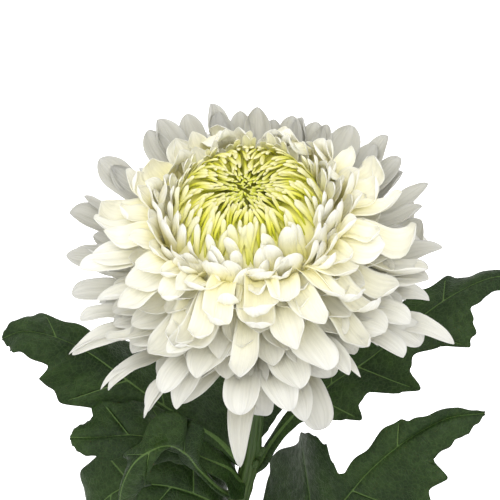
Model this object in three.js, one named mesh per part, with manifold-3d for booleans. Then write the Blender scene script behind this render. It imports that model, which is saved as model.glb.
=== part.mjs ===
// A white football mum, a large incurved chrysanthemum, on its leafy stem in a clear glass bottle vase of water.
// Millimetres, +Z up, origin at the centre of the vase's flat foot. The bloom nods towards -Y.
import * as THREE from 'three';
import { mergeVertices } from 'three/addons/utils/BufferGeometryUtils.js';
import Module from 'manifold-3d';

const CALYX = [17.6, 0, 280];        // where the bloom sits on its stem
const NOD_FORWARD = 7;               // degrees that the bloom leans to -Y
const NOD_LEFT = 5.5;                // degrees that it leans to -X
const GAP = 0.3;                     // clearance between two pieces that touch
const STEM_RADIUS = 3.1;
const WATER_LEVEL = 92;
const FLOOR = 8;                     // inside floor of the vase
const GOLDEN = 137.50776 * Math.PI / 180;
const HEART_RADIUS = 21.4;           // the yellow heart sits in a round recess of the white bloom
const HEART_FLOOR = 42;
const FLORET = 2.35;                 // heart florets are this much larger than life
const RING = 1.75;                   // the ring round them this much
const SPREAD = 1.44;                // and the spreading petals this much
const BARE = 11;                     // no place of the bloom is barer than this between tips
const RAY_THICKNESS = 1.2;
const FLORET_THICKNESS = 1.1;
const LEAF_THICKNESS = 0.9;

const wasm = await Module();
wasm.setup();

const rad = (d) => d * Math.PI / 180;
const lerp = (a, b, t) => a + (b - a) * t;
const clamp = (x) => Math.min(1, Math.max(0, x));
const smooth = (a, b, x) => { const t = clamp((x - a) / (b - a)); return t * t * (3 - 2 * t); };

class Rand {
  constructor(seed) { this.s = seed >>> 0; }
  next() { this.s = (Math.imul(1664525, this.s) + 1013904223) >>> 0; return this.s / 4294967296; }
  span(a, b) { return a + (b - a) * this.next(); }
}

function table(points, x) {
  if (x <= points[0][0]) return points[0][1];
  for (let i = 1; i < points.length; i++) {
    const [x0, y0] = points[i - 1], [x1, y1] = points[i];
    if (x <= x1) return y0 + (y1 - y0) * (x - x0) / (x1 - x0);
  }
  return points[points.length - 1][1];
}

// A smooth curve of (radius, height) points, read by its length from the first one.
class Profile {
  constructor(P, mirrored) {
    this.P = [];
    const n = P.length;
    for (let i = 0; i < n - 1; i++) {
      const p0 = i ? P[i - 1] : mirrored ? [-P[1][0], P[1][1]] : [2 * P[0][0] - P[1][0], 2 * P[0][1] - P[1][1]];
      const p1 = P[i], p2 = P[i + 1];
      const p3 = i + 2 < n ? P[i + 2] : [2 * p2[0] - p1[0], 2 * p2[1] - p1[1]];
      for (let k = 0; k < 20; k++) {
        const t = k / 20;
        this.P.push([0, 1].map((c) => 0.5 * (2 * p1[c] + (p2[c] - p0[c]) * t
          + (2 * p0[c] - 5 * p1[c] + 4 * p2[c] - p3[c]) * t * t
          + (3 * p1[c] - p0[c] - 3 * p2[c] + p3[c]) * t * t * t)));
      }
    }
    this.P.push(P[n - 1]);
    this.S = [0];
    for (let i = 1; i < this.P.length; i++)
      this.S.push(this.S[i - 1] + Math.hypot(this.P[i][0] - this.P[i - 1][0], this.P[i][1] - this.P[i - 1][1]));
    this.end = this.S[this.S.length - 1];
  }
  at(d) {
    const pick = (c) => table(this.S.map((s, i) => [s, this.P[i][c]]), d);
    return [pick(0), pick(1)];
  }
}

// The tips of the incurved florets lie on BUN, those of the spreading petals on RAY, as (radius, height).
const BUN = new Profile([
  [0, 57.5], [4, 58], [8, 59.2], [12, 60.6], [16, 61.2], [20, 60], [23.5, 57], [26.5, 52.5], [29, 46.5], [31, 40],
], true);
const RAY = new Profile([
  [30, 55], [36, 53.5], [43, 51], [50, 47.5], [57, 41.5], [62.5, 32], [64, 21], [61, 9], [55, 0], [49, -7],
], false);
// Each table runs over the distance along its profile: width, the step to the next tip, the tip's direction.
const W_BUN = [[0, 1], [6, 1.6], [12, 2.3], [18, 3.1], [24, 4.2], [30, 5.4], [38, 6.8], [50, 8]];
const E_BUN = [[0, 0.7], [6, 1.5], [12, 2.4], [18, 3.2], [24, 4], [30, 5], [38, 6.2], [50, 7]];
const A_BUN = [[0, 90], [4, 112], [10, 140], [17, 152], [24, 138], [31, 122], [40, 112], [50, 104]];
const W_RAY = [[0, 8], [10, 9.4], [20, 10.6], [35, 12], [60, 13.2], [84, 13]];
const E_RAY = [[0, 5.5], [10, 6.5], [20, 8], [35, 9.5], [60, 11], [84, 12]];
const A_RAY = [[0, 84], [8, 72], [16, 60], [26, 44], [36, 24], [46, 4], [56, -16], [68, -42], [84, -64]];
const ROOT_RAY = [[0, 88], [20, 78], [40, 50], [60, 15], [84, -12]];
const CURL_RAY = [[0, 0.68], [20, 0.72], [40, 0.7], [84, 0.5]];
const STAY_RAY = [[0, 0.3], [30, 0.2], [60, 0]];
// The petals that make the bloom's outline: azimuth, tip radius, tip height, place on RAY, width, pointedness.
const EDGE = [
  [121, 60.9, 50, 28, 11, 0.3], [113, 59.1, 48.8, 27, 8, 0.6], [127, 60.1, 48.3, 28, 9, 0.4],
  [104, 59.4, 50.1, 27, 9, 0.5], [100, 57.2, 47.4, 27, 8, 0.4], [93, 56.6, 46.8, 27, 8, 0.4],
  [87, 57.1, 47.6, 27, 10, 0.3], [82, 55.4, 43.2, 28, 7, 0.5], [73, 56, 45, 28, 9, 0.4],
  [70, 56.2, 44.8, 28, 8, 0.4], [64, 56, 44.1, 28, 9, 0.3], [59, 56.4, 43.9, 29, 8, 0.3],
  [51, 59.6, 44.4, 30, 11, 0.2], [42, 59.4, 41.5, 32, 8, 0.6], [39, 64.1, 43.5, 33, 9, 0.5],
  [33, 63.2, 38.8, 36, 8, 0.4], [29, 61.7, 35.2, 38, 8, 0.4], [20, 66.6, 34.9, 41, 6, 1],
  [10, 60.4, 36.4, 37, 7, 0.7], [1, 65.4, 24.4, 49, 11, 0.8], [345, 61.9, 33.2, 41, 9, 0.4],
  [342, 62.6, 31.5, 42, 11, 0.2], [337, 72.8, 8.9, 62, 9, 0.9], [333, 62.7, 9.6, 64, 11, 0.2],
  [320, 63, 15.3, 58, 12, 0.2], [303, 63.9, 22.8, 51, 7, 1], [300, 63.5, 26.2, 48, 9, 0.6],
  [290, 56.7, -3.4, 78, 12, 0.3], [283, 60.7, 8.3, 66, 11, 0.8], [265, 63.6, 18.7, 55, 13, 0],
  [261, 63.6, -8.6, 78, 8, 1], [245, 63.3, 16.4, 58, 11, 0.7], [240, 63.9, 23.4, 51, 10, 0.3],
  [231, 61.3, 5.5, 68, 8, 0.5], [230, 64.1, 4.8, 68, 5, 1], [216, 65.6, 8.5, 64, 8, 0.9],
  [215, 67.5, 8.7, 64, 5, 1], [205, 70.4, 16, 57, 9, 0.9], [203, 71.5, 16.6, 56, 6, 0.9],
  [197, 64, 22.4, 52, 8, 0.4], [188, 64.7, 25, 49, 10, 0.3], [176, 66.1, 31.3, 43, 9, 0.9],
  [163, 67.2, 38.2, 38, 13, 0], [157, 64.2, 40.3, 36, 4, 0.6], [145, 60.3, 44.2, 31, 9, 0.4],
  [145, 64.2, 47.3, 31, 10, 0.4],
];

// Distances along a profile at which the golden-angle spiral sets one petal after another, to cover it evenly.
function places(profile, width, step, scale) {
  const out = [];
  let done = 0, want = 0.5;
  const d = 0.05;
  for (let s = 0; s < profile.end; s += d) {
    const [r] = profile.at(s);
    done += 2 * Math.PI * r * d / (table(width, s) * table(step, s) * scale * scale);
    while (done >= want) { out.push(s); want += 1; }
  }
  return out;
}

// The incurved florets: they rise, bend over and point to the eye.
function bunPetals(scale, from, to, seed, drop) {
  const rnd = new Rand(seed), rows = [];
  places(BUN, W_BUN, E_BUN, scale).forEach((d, i) => {
    const az = i * GOLDEN + rnd.span(-1, 1) * 0.1;
    let [r1, z1] = BUN.at(d);
    const far = smooth(16, 34, d);
    const th1 = rad(table(A_BUN, d) + rnd.span(-1, 1) * (6 + 10 * far));
    const rise = rnd.span(-0.5, 0.5) * (0.5 + 1.6 * far);
    r1 += rise * Math.cos(th1) * 1.2;
    z1 += rise * Math.sin(th1) * 1.2 + rnd.span(-0.2, 0.5);
    const length = table([[0, 5], [8, 9], [22, 18], [34, 30], [50, 42]], d);
    const k = smooth(20, 36, d);
    const [ro, zo] = BUN.at(Math.min(BUN.end, d + length * 0.62));
    const r0 = lerp(ro * 0.86, 13, k), z0 = lerp(zo - 5 * Math.min(1, length / 12) - 1 - drop, 9, k);
    const th0 = rad(table([[0, 92], [10, 100], [22, 70], [36, 30], [50, 22]], d));
    const p = {
      d, az, root: [r0, z0], tip: [r1, z1], th0, th1, curl: 0.45, stay: 0,
      w: table(W_BUN, d) * rnd.span(0.85, 1.15) * scale,
      cup: table([[0, 1.2], [20, 1.25], [50, 1.1]], d) * rnd.span(0.8, 1.2),
      point: rnd.span(0.05, 0.6), twist: rnd.span(-0.35, 0.35), side: rnd.span(-0.05, 0.05), base: 0.5,
    };
    if (d >= from && d < to) rows.push(p);
  });
  return rows;
}

// The spreading petals in their layers, with those of the outline set one by one.
function rayPetals(seed) {
  const rnd = new Rand(seed), rows = [];
  const root = (d) => { const f = rad(lerp(40, 100, d / RAY.end)); return [13 * Math.sin(f), 9 * Math.cos(f)]; };
  places(RAY, W_RAY, E_RAY, SPREAD).forEach((d, i) => {
    const az = i * GOLDEN + rnd.span(-1, 1) * 0.13 + 1;
    let [r1, z1] = RAY.at(d);
    const wild = smooth(5, 45, d);
    const th1 = rad(table(A_RAY, d) + rnd.span(-1, 1) * (16 + 6 * wild));
    const deg = (az * 180 / Math.PI) % 360;
    let reach = rnd.span(-1, 1) * (1.5 + 1.5 * wild) - 1.5 * wild;
    reach += 3.5 * Math.exp(-(((deg - 132) / 32) ** 2)) * smooth(8, 20, d) * (1 - smooth(38, 52, d));
    reach -= 9 * Math.exp(-(((deg - 312) / 17) ** 2)) * smooth(46, 60, d);
    const far = Math.hypot(r1, z1 - 20);
    [r1, z1] = [r1 + reach * r1 / far, z1 + reach * (z1 - 20) / far];
    rows.push({
      d, az, root: root(d), tip: [r1, z1], th0: rad(table(ROOT_RAY, d)), th1,
      curl: table(CURL_RAY, d) + rnd.span(-0.05, 0.08), stay: table(STAY_RAY, d),
      w: table(W_RAY, d) * rnd.span(0.8, 1.18) * lerp(1, SPREAD, 0.6),
      cup: table([[0, 1.35], [20, 1.2], [40, 0.95], [60, 0.7], [84, 0.55]], d) * rnd.span(0.65, 1.35),
      point: rnd.span(0, 0.9), twist: rnd.span(-0.45, 0.45) * (0.5 + 0.5 * wild),
      side: rnd.span(-0.14, 0.14), base: 0.3,
    });
  });
  const free = new Set(rows), left = [];
  const at = (p) => new THREE.Vector3(p.tip[0] * Math.cos(p.az), p.tip[0] * Math.sin(p.az), p.tip[1]);
  for (const [deg, r, z, arc, w, point] of EDGE) {
    const a = rad(deg), goal = new THREE.Vector3(r * Math.cos(a), r * Math.sin(a), z);
    let best = null, least = Infinity;
    for (const p of free) {
      const away = at(p).distanceToSquared(goal);
      if (away < least) [best, least] = [p, away];
    }
    left.push({ ...best });
    free.delete(best);
    Object.assign(best, {
      d: arc, az: a, tip: [r, z], th1: rad(table(A_RAY, arc)), w, point, root: root(arc),
      th0: rad(table(ROOT_RAY, arc)), stay: table(STAY_RAY, arc),
    });
  }
  // A petal that the outline took from the middle of the bloom is put back where it leaves a bare place.
  for (const p of left) if (rows.every((q) => at(q).distanceTo(at(p)) > BARE)) rows.push(p);
  return rows;
}

// The line of a petal in its own upright plane: it leaves the root along th0 and reaches the tip along th1.
function centreline(p) {
  const [r0, z0] = p.root, [r3, z3] = p.tip, n = 48;
  const chord = Math.hypot(r3 - r0, z3 - z0), aim = Math.atan2(z3 - z0, r3 - r0);
  const run = (body) => {
    const th = [], x = [0], y = [0];
    for (let i = 0; i < n; i++) {
      const u = (i + 0.5) / n, a = smooth(p.stay, p.stay + 0.4, u), b = smooth(p.curl, 1, u);
      const t = p.th0 * (1 - a) + body * (a - b) + p.th1 * b;
      th.push(t);
      x.push(x[i] + Math.cos(t) / n);
      y.push(y[i] + Math.sin(t) / n);
    }
    return { th, x, y };
  };
  let lo = aim - 1.9, hi = aim + 1.9, c;
  for (let k = 0; k < 26; k++) {
    const mid = (lo + hi) / 2;
    c = run(mid);
    let e = Math.atan2(c.y[n], c.x[n]) - aim;
    e = ((e + Math.PI) % (2 * Math.PI) + 2 * Math.PI) % (2 * Math.PI) - Math.PI;
    if (e > 0) hi = mid; else lo = mid;
  }
  const L = chord / Math.hypot(c.x[n], c.y[n]);
  const tm = [c.th[0]];
  for (let i = 1; i < n; i++) tm.push((c.th[i] + c.th[i - 1]) / 2);
  tm.push(c.th[n - 1]);
  const read = (a, s) => {
    const f = clamp(s) * n, i = Math.min(n - 1, Math.floor(f));
    return a[i] + (a[i + 1] - a[i]) * (f - i);
  };
  return { L, at: (s) => ({ r: read(c.x, s) * L + r0, z: read(c.y, s) * L + z0, th: read(tm, s) }) };
}

// One point of a petal: s from root to tip, x from edge to edge (-1 to 1), in the bloom's frame.
function petalPoint(p, line, s, x) {
  const { r, z, th } = line.at(s);
  const tipLength = Math.min(0.34, Math.max(0.12, p.w * lerp(0.62, 1.15, p.point) / line.L));
  const widest = 1 - tipLength;
  let half = p.w / 2 * (p.base + (1 - p.base) * smooth(0, 1, clamp(s / widest)) ** 1.2);
  const t = clamp((s - widest) / tipLength);
  half *= Math.max(0, 1 - t ** lerp(2.6, 1.6, p.point)) ** lerp(0.5, 0.66, p.point);
  const cup = Math.max(0.12, p.cup * (1.3 - 0.6 * smooth(0.2, 0.8, s) + 0.35 * smooth(0.86, 1, s)));
  const across = half * Math.sin(cup * x) / cup, lift = half * (1 - Math.cos(cup * x)) / cup;
  const tw = p.twist * s ** 1.5;
  const b = across * Math.cos(tw) - lift * Math.sin(tw) + p.side * line.L * s * s;
  const n = across * Math.sin(tw) + lift * Math.cos(tw);
  const pr = r - n * Math.sin(th), pz = z + n * Math.cos(th);
  return new THREE.Vector3(pr * Math.cos(p.az) - b * Math.sin(p.az), pr * Math.sin(p.az) + b * Math.cos(p.az), pz);
}

function geometryOf(points, faces) {
  const g = new THREE.BufferGeometry();
  const xyz = new Float32Array(points.length * 3);
  points.forEach((p, i) => xyz.set([p.x, p.y, p.z], i * 3));
  g.setAttribute('position', new THREE.BufferAttribute(xyz, 3));
  g.setIndex(faces.flat());
  return g;
}

function solidOf(geometry, near = 1e-4) {
  const g = geometry.clone();
  for (const name of ['normal', 'uv']) if (g.getAttribute(name)) g.deleteAttribute(name);
  const m = mergeVertices(g, near);
  const vertProperties = m.attributes.position.array;
  const make = (triVerts) => new wasm.Manifold(new wasm.Mesh({ numProp: 3, vertProperties, triVerts }));
  const tri = new Uint32Array(m.index.array);
  let s = make(tri);
  if (s.volume() < 0) {
    for (let i = 0; i < tri.length; i += 3) [tri[i + 1], tri[i + 2]] = [tri[i + 2], tri[i + 1]];
    s = make(tri);
  }
  return s;
}

// A petal as a folded blade: two edges, a crest and a keel, closed at the root and drawn to a point at the tip.
function blade(p, stations, thickness) {
  const line = centreline(p), P = [], F = [];
  for (const s of stations) {
    const l = petalPoint(p, line, s, -1), m = petalPoint(p, line, s, 0), r = petalPoint(p, line, s, 1);
    const ahead = petalPoint(p, line, Math.min(1, s + 0.01), 0).sub(petalPoint(p, line, s - 0.01, 0));
    const n = ahead.cross(new THREE.Vector3().subVectors(r, l)).normalize().multiplyScalar(thickness / 2);
    P.push(l, m.clone().add(n), r, m.clone().sub(n));
  }
  P.push(petalPoint(p, line, 1, 0));
  const last = P.length - 1, k = stations.length;
  F.push([0, 1, 2], [0, 2, 3]);
  for (let i = 0; i < k - 1; i++)
    for (let j = 0; j < 4; j++) {
      const a = i * 4 + j, b = i * 4 + (j + 1) % 4, c = a + 4, d = b + 4;
      F.push(j % 2 ? [a, c, b] : [a, c, d], j % 2 ? [b, c, d] : [a, d, b]);
    }
  for (let j = 0; j < 4; j++) F.push([(k - 1) * 4 + j, last, (k - 1) * 4 + (j + 1) % 4]);
  return solidOf(geometryOf(P, F));
}

// Where a petal comes out of a core (a list of (radius, height) points), a little before, as a share of its length.
function leavesCore(p, core, sunk) {
  const line = centreline(p);
  const inside = (r, z) => {
    let hit = false;
    for (let i = 0, j = core.length - 1; i < core.length; j = i++) {
      const [xi, yi] = core[i], [xj, yj] = core[j];
      if ((yi > z) !== (yj > z) && r < (xj - xi) * (z - yi) / (yj - yi) + xi) hit = !hit;
    }
    return hit;
  };
  for (let s = 0.9; s > 0; s -= 0.01) {
    const { r, z } = line.at(s);
    if (inside(Math.abs(r), z)) return Math.max(0.02, s - sunk / line.L);
  }
  return 0.02;
}

function lathe(profile, segments) {
  const g = new THREE.LatheGeometry(profile.map(([r, z]) => new THREE.Vector2(r, z)), segments);
  g.rotateX(Math.PI / 2);
  return solidOf(g);
}

// One closed body: hollows that joining sealed are filled and loose scraps dropped.
function oneBody(solid) {
  const whole = solidOf(toGeometry(solid), 1e-3);
  return whole.decompose().sort((a, b) => b.volume() - a.volume())[0];
}

function toGeometry(solid) {
  const mesh = solid.getMesh(), step = mesh.numProp, n = mesh.vertProperties.length / step;
  const pos = new Float32Array(n * 3);
  for (let i = 0; i < n; i++) for (let c = 0; c < 3; c++) pos[i * 3 + c] = mesh.vertProperties[i * step + c];
  const g = new THREE.BufferGeometry();
  g.setAttribute('position', new THREE.BufferAttribute(pos, 3));
  g.setIndex(Array.from(mesh.triVerts));
  g.computeVertexNormals();
  return g;
}

const football = new THREE.Group();
function add(name, solid, colour, roughness, placed) {
  const material = new THREE.MeshStandardMaterial({ color: colour, roughness, metalness: 0, flatShading: true });
  const mesh = new THREE.Mesh(toGeometry(solid), material);
  mesh.name = name;
  if (placed) placed.add(mesh); else football.add(mesh);
  return mesh;
}

// The bloom's own group: upright along its axis, then leaned and set on the calyx.
const bloom = new THREE.Group();
const axis = new THREE.Vector3(-Math.sin(rad(NOD_LEFT)), -Math.sin(rad(NOD_FORWARD)), 1).normalize();
bloom.quaternion.setFromUnitVectors(new THREE.Vector3(0, 0, 1), axis);
bloom.position.set(...CALYX);
football.add(bloom);

const CORE = [
  [0, -1.9], [14, -1.9], [23, -0.8], [29, 2], [34, 8], [39, 17], [42.5, 27], [41, 35], [36, 41], [31, 45],
  [27.5, 47.5], [24, 50], [0, 50],
];
const HEART_CORE = [[0, 42.3], [21.1, 42.3], [21.1, 47], [19, 50], [15, 51.5], [8, 51.5], [0, 51]];
const recess = lathe([[0, HEART_FLOOR], [HEART_RADIUS, HEART_FLOOR], [HEART_RADIUS, 90], [0, 90]], 40);
const heartRoom = lathe([
  [0, HEART_FLOOR + GAP], [HEART_RADIUS - GAP, HEART_FLOOR + GAP], [HEART_RADIUS - GAP, 88], [0, 88],
], 40);

const white = [lathe(CORE, 36)];
for (const p of bunPetals(RING, 24, 99, 20, 0)) {
  const s0 = leavesCore(p, CORE, 3);
  white.push(blade(p, [s0, lerp(s0, 1, 0.5), lerp(s0, 1, 0.84)], RAY_THICKNESS));
}
for (const p of rayPetals(21)) {
  const s0 = leavesCore(p, CORE, 3);
  white.push(blade(p, [s0, lerp(s0, 1, 0.5), lerp(s0, 1, 0.86)], RAY_THICKNESS));
}
const petals = oneBody(wasm.Manifold.union(white).subtract(recess).simplify(0.12));
add('petals', petals, 0xf2f1ea, 0.6, bloom);

const yellow = [lathe(HEART_CORE, 32)];
for (const p of bunPetals(FLORET, 0, 24, 20, 5)) {
  const s0 = leavesCore(p, HEART_CORE, 2);
  yellow.push(blade(p, [s0, lerp(s0, 1, 0.7)], FLORET_THICKNESS));
}
const heart = oneBody(wasm.Manifold.union(yellow).intersect(heartRoom).simplify(0.12));
add('heart', heart, 0xc9cf4a, 0.6, bloom);

// A line through points, read by its share of the length.
function lineOf(points) {
  const curve = new THREE.CatmullRomCurve3(points.map((p) => new THREE.Vector3(...p)), false, 'centripetal');
  curve.arcLengthDivisions = 400;
  return curve;
}

// The stem, from the calyx down through the neck to the floor of the vase, relative to the calyx.
const STEM_FOOT = FLOOR + GAP - CALYX[2];
const STEM = lineOf([
  [0.6, 0, -6], [-0.2, 0, -14], [-1.3, 0, -31.8], [-3.5, 0, -66.8], [-7.7, 0, -93], [-12, 0.2, -124],
  [-17.5, 0.6, -180], [-23.5, 1.5, -230], [-29, 2.5, STEM_FOOT],
].map(([x, y, z]) => [x + CALYX[0], y + CALYX[1], z + CALYX[2]]));
const stemAt = (z) => {
  let lo = 0, hi = 1;
  for (let k = 0; k < 30; k++) {
    const m = (lo + hi) / 2;
    if (STEM.getPoint(m).z > z) lo = m; else hi = m;
  }
  return STEM.getPoint((lo + hi) / 2);
};

// A ribbed round bar along the stem's line, with level rings, closed at both ends.
function bar(radius, rib, sides, rings, z0, z1) {
  const P = [], F = [];
  for (let i = 0; i <= rings; i++) {
    const z = lerp(z0, z1, i / rings), c = stemAt(z);
    for (let j = 0; j < sides; j++) {
      const a = 2 * Math.PI * j / sides, r = radius - (j % 2) * rib;
      P.push(new THREE.Vector3(c.x + r * Math.cos(a), c.y + r * Math.sin(a), z));
    }
  }
  for (let i = 0; i < rings; i++)
    for (let j = 0; j < sides; j++) {
      const a = i * sides + j, b = i * sides + (j + 1) % sides;
      F.push([a, b, b + sides], [a, b + sides, a + sides]);
    }
  const foot = rings * sides;
  for (let j = 1; j < sides - 1; j++) F.push([0, j + 1, j], [foot, foot + j, foot + j + 1]);
  return solidOf(geometryOf(P, F));
}

function ball(x, y, z, rx, rz, tilt) {
  const g = new THREE.SphereGeometry(1, 7, 5);
  g.rotateX(Math.PI / 2);
  g.scale(rx, rx, rz);
  g.rotateY(tilt);
  g.translate(x, y, z);
  return solidOf(g);
}

// The calyx under the petals: a shallow cup of overlapping bracts, all one with the stem.
const CALYX_PROFILE = [[0, -9.5], [3.2, -9.5], [5.5, -8.2], [9.5, -6], [12.6, -3.6], [13.2, -2.2], [0, -2.2]];
function placedInBloom(solid) {
  bloom.updateMatrixWorld(true);
  return solid.transform(bloom.matrixWorld.toArray());
}
const green = [bar(STEM_RADIUS, 0.35, 12, 12, CALYX[2] - 6.5, FLOOR + GAP)];
green.push(placedInBloom(lathe(CALYX_PROFILE, 12)));
for (let i = 0; i < 8; i++) {
  const p = {
    az: i * Math.PI / 4, root: [5.5, -8.5 + i % 2 * 0.7], tip: [13.6, -4.4 + i % 2 * 0.7],
    th0: rad(8), th1: rad(52), curl: 0.4, stay: 0, w: 7.1, cup: 0.5, point: 0.6, twist: 0, side: 0, base: 0.7,
  };
  green.push(placedInBloom(blade(p, [0.05, 0.62], 1)));
}
for (const [z, a, size] of [[188, 172, 2.4], [209.5, 300, 1.9], [214, 335, 2]]) {
  const c = stemAt(z), d = STEM_RADIUS + size * 0.35;
  const tilt = Math.cos(rad(a)) * 0.5;
  green.push(ball(c.x + d * Math.cos(rad(a)), c.y + d * Math.sin(rad(a)), z, size * 0.8, size * 1.25, tilt));
}
add('stem', oneBody(wasm.Manifold.union(green).simplify(0.1)), 0x5f7f3c, 0.6);

// The vase: a clear bottle with a flat foot, a round belly, a narrow neck and a turned-out lip.
const VASE = [
  [0, 0], [31, 0], [33.4, 0.8], [34.6, 2.6], [36.6, 13], [38, 30], [37.9, 46], [36.2, 61], [32.2, 76], [26, 90],
  [19.4, 103], [14.6, 116], [12.4, 129],
  [12, 140], [12.6, 148], [15.2, 155.4], [14.4, 157], [12.6, 157],
  [10.2, 151.4], [9, 141], [9.3, 129.6], [11.6, 117.4], [16.6, 104.8], [23.2, 91.8], [29.4, 77.6], [33.2, 61.4],
  [34.9, 46], [35, 30.4], [33.6, 13], [31, FLOOR], [0, FLOOR],
];
add('vase', lathe(VASE, 20), 0xdfeaea, 0.05);

// The water, up to its level, with a plain hole for the stem.
const WATER = [
  [0, FLOOR + GAP], [30.6, FLOOR + GAP], [33.1, 13.2], [34.6, 30.4], [34.5, 46], [32.8, 61.3], [29, 77.4],
  [22.9, WATER_LEVEL - 0.6], [22.5, WATER_LEVEL], [0, WATER_LEVEL],
];
const shaft = bar(STEM_RADIUS + GAP + 0.1, 0, 12, 6, WATER_LEVEL + 4, FLOOR - 2);
add('water', oneBody(lathe(WATER, 20).subtract(shaft).simplify(0.03)), 0xe4f0f2, 0.05);

// A leaf: a waved blade with lobed edges on a line of points from the stem to the tip, relative to the calyx.
// near and far give the half width on its two sides, over the share of the length; lean is how far lobes slant
// forward, first by the stalk and then out in the blade.
function leaf(name, o) {
  const first = new THREE.Vector3(...o.line[0]).add(new THREE.Vector3(...CALYX));
  const next = new THREE.Vector3(...o.line[1]).add(new THREE.Vector3(...CALYX));
  const c = stemAt(first.z), out = new THREE.Vector3(next.x - c.x, next.y - c.y, 0).normalize();
  const start = new THREE.Vector3(c.x, c.y, first.z).addScaledVector(out, STEM_RADIUS + GAP + 0.1);
  const middle = start.clone().addScaledVector(out, 3.5);
  const rest = o.line.slice(1).map((p) => [p[0] + CALYX[0], p[1] + CALYX[1], p[2] + CALYX[2]]);
  const line = lineOf([start.toArray(), middle.toArray(), ...rest]);
  const up0 = new THREE.Vector3(...o.up[0]), up1 = new THREE.Vector3(...o.up[1]);
  const X = [
    0, 0.05, 0.12, 0.19, 0.26, 0.32, 0.38, 0.43, 0.48, 0.53, 0.58, 0.63, 0.68, 0.73, 0.78, 0.83, 0.88, 0.93, 0.97, 1,
  ];
  const V = [-1, -0.5, 0, 0.5, 1], top = [], under = [];
  for (const x of X) {
    const m = line.getPointAt(x), t = line.getTangentAt(x);
    const up = up0.clone().lerp(up1, smooth(0, 0.7, x)).normalize();
    if (x < 0.04) t.copy(out);
    const b = new THREE.Vector3().crossVectors(up, t).normalize(), n = new THREE.Vector3().crossVectors(t, b);
    for (const v of V) {
      const [margin, banks, shift] = v > 0 ? [o.near, o.bankNear, 0.35] : [o.far, o.bankFar, 0];
      const w = table(margin, x), bank = rad(table(banks, x)), a = Math.abs(v);
      const lean = rad(lerp(o.lean[0], o.lean[1], smooth(0.12, 0.42, x))) * (1 - 0.6 * smooth(0.8, 1, x));
      const side = v * w * Math.cos(lean) * Math.cos(bank), lift = a * w * Math.sin(bank);
      const ahead = a * w * Math.sin(lean);
      const wave = o.wave * Math.sin(2 * Math.PI * (o.waves * x + shift) + o.phase) * a * a * Math.min(1, w / 10);
      const p = m.clone().addScaledVector(b, side).addScaledVector(t, ahead).addScaledVector(n, lift + wave);
      const stalk = 1 - smooth(0.05, 0.34, x);
      const thick = (LEAF_THICKNESS + (1.5 * stalk + 0.5 * (1 - x)) * (1 - 0.6 * a)) / 2;
      top.push(p.clone().addScaledVector(n, thick * 0.6));
      under.push(p.clone().addScaledVector(n, -thick * 1.4));
    }
  }
  const k = V.length, total = top.length, F = [];
  for (let i = 0; i < X.length - 1; i++)
    for (let j = 0; j < k - 1; j++) {
      const a = i * k + j, b = a + 1, d = a + k, e = d + 1;
      F.push([a, b, e], [a, e, d], [a + total, e + total, b + total], [a + total, d + total, e + total]);
    }
  const rim = [];
  for (let j = 0; j < k - 1; j++) rim.push([j, j + 1]);
  for (let i = 0; i < X.length - 1; i++) rim.push([i * k + k - 1, (i + 1) * k + k - 1]);
  for (let j = k - 1; j > 0; j--) rim.push([(X.length - 1) * k + j, (X.length - 1) * k + j - 1]);
  for (let i = X.length - 1; i > 0; i--) rim.push([i * k, (i - 1) * k]);
  for (const [a, b] of rim) F.push([a, a + total, b + total], [a, b + total, b]);
  add(name, solidOf(geometryOf([...top, ...under], F)), o.colour ?? 0x2f4f2c, 0.6);
}

const LEVEL = [[0, 0], [1, 0]];
leaf('leaf_1', {
  line: [[-5.4, -1, -72], [-17.3, -1, -59.7], [-30.2, 1, -50], [-41.3, 4, -43.2], [-52.2, 7, -35],
    [-64.9, 10, -25.9], [-77.6, 12, -20.4], [-87.9, 13, -19.3], [-95.5, 13, -22.7]],
  up: [[0.3, -0.3, 1], [0.05, -0.2, 1]], lean: [10, 36], wave: 1.6, waves: 3.2, phase: 0.4,
  near: [[0, 1.6], [0.1, 1.8], [0.17, 3], [0.25, 8], [0.33, 15], [0.39, 14], [0.45, 17], [0.53, 24], [0.6, 23],
    [0.67, 20], [0.73, 13.5], [0.79, 13], [0.87, 13], [0.93, 9], [0.97, 5], [1, 0.6]],
  far: [[0, 1.6], [0.1, 1.8], [0.16, 9], [0.24, 16], [0.3, 14], [0.38, 17], [0.45, 14], [0.54, 15], [0.6, 10],
    [0.68, 9], [0.74, 9.5], [0.81, 11], [0.88, 8.2], [0.94, 5], [0.98, 2.5], [1, 0.6]],
  bankNear: [[0, 0], [0.25, -38], [0.6, -38], [0.75, -8], [1, 0]], bankFar: [[0, 0], [0.5, 0], [1, 8]],
});
leaf('leaf_2', {
  line: [[-8, -3, -79.5], [-12.5, -6, -70.9], [-21.7, -9, -61.9], [-33.6, -12, -51.5], [-46.3, -13, -47],
    [-59.1, -13, -48], [-70.2, -12, -49]],
  up: [[0.5, -0.4, 1], [0, -0.35, 1]], lean: [0, 36], wave: 1.4, waves: 2.6, phase: 2.2,
  near: [[0, 1.6], [0.12, 2], [0.2, 3], [0.34, 4], [0.44, 8], [0.52, 14], [0.6, 15], [0.68, 11], [0.76, 10],
    [0.86, 8], [0.93, 6], [0.97, 4], [1, 0.6]],
  far: [[0, 1.6], [0.12, 2], [0.2, 3], [0.28, 4], [0.36, 8], [0.44, 14], [0.52, 18], [0.6, 16], [0.66, 15],
    [0.73, 17], [0.78, 15], [0.82, 10.5], [0.87, 9], [0.93, 6], [0.97, 4], [1, 0.6]],
  bankNear: [[0, 0], [0.4, -12], [1, -6]], bankFar: [[0, 0], [0.35, -4], [0.6, 4], [1, 0]],
});
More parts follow.
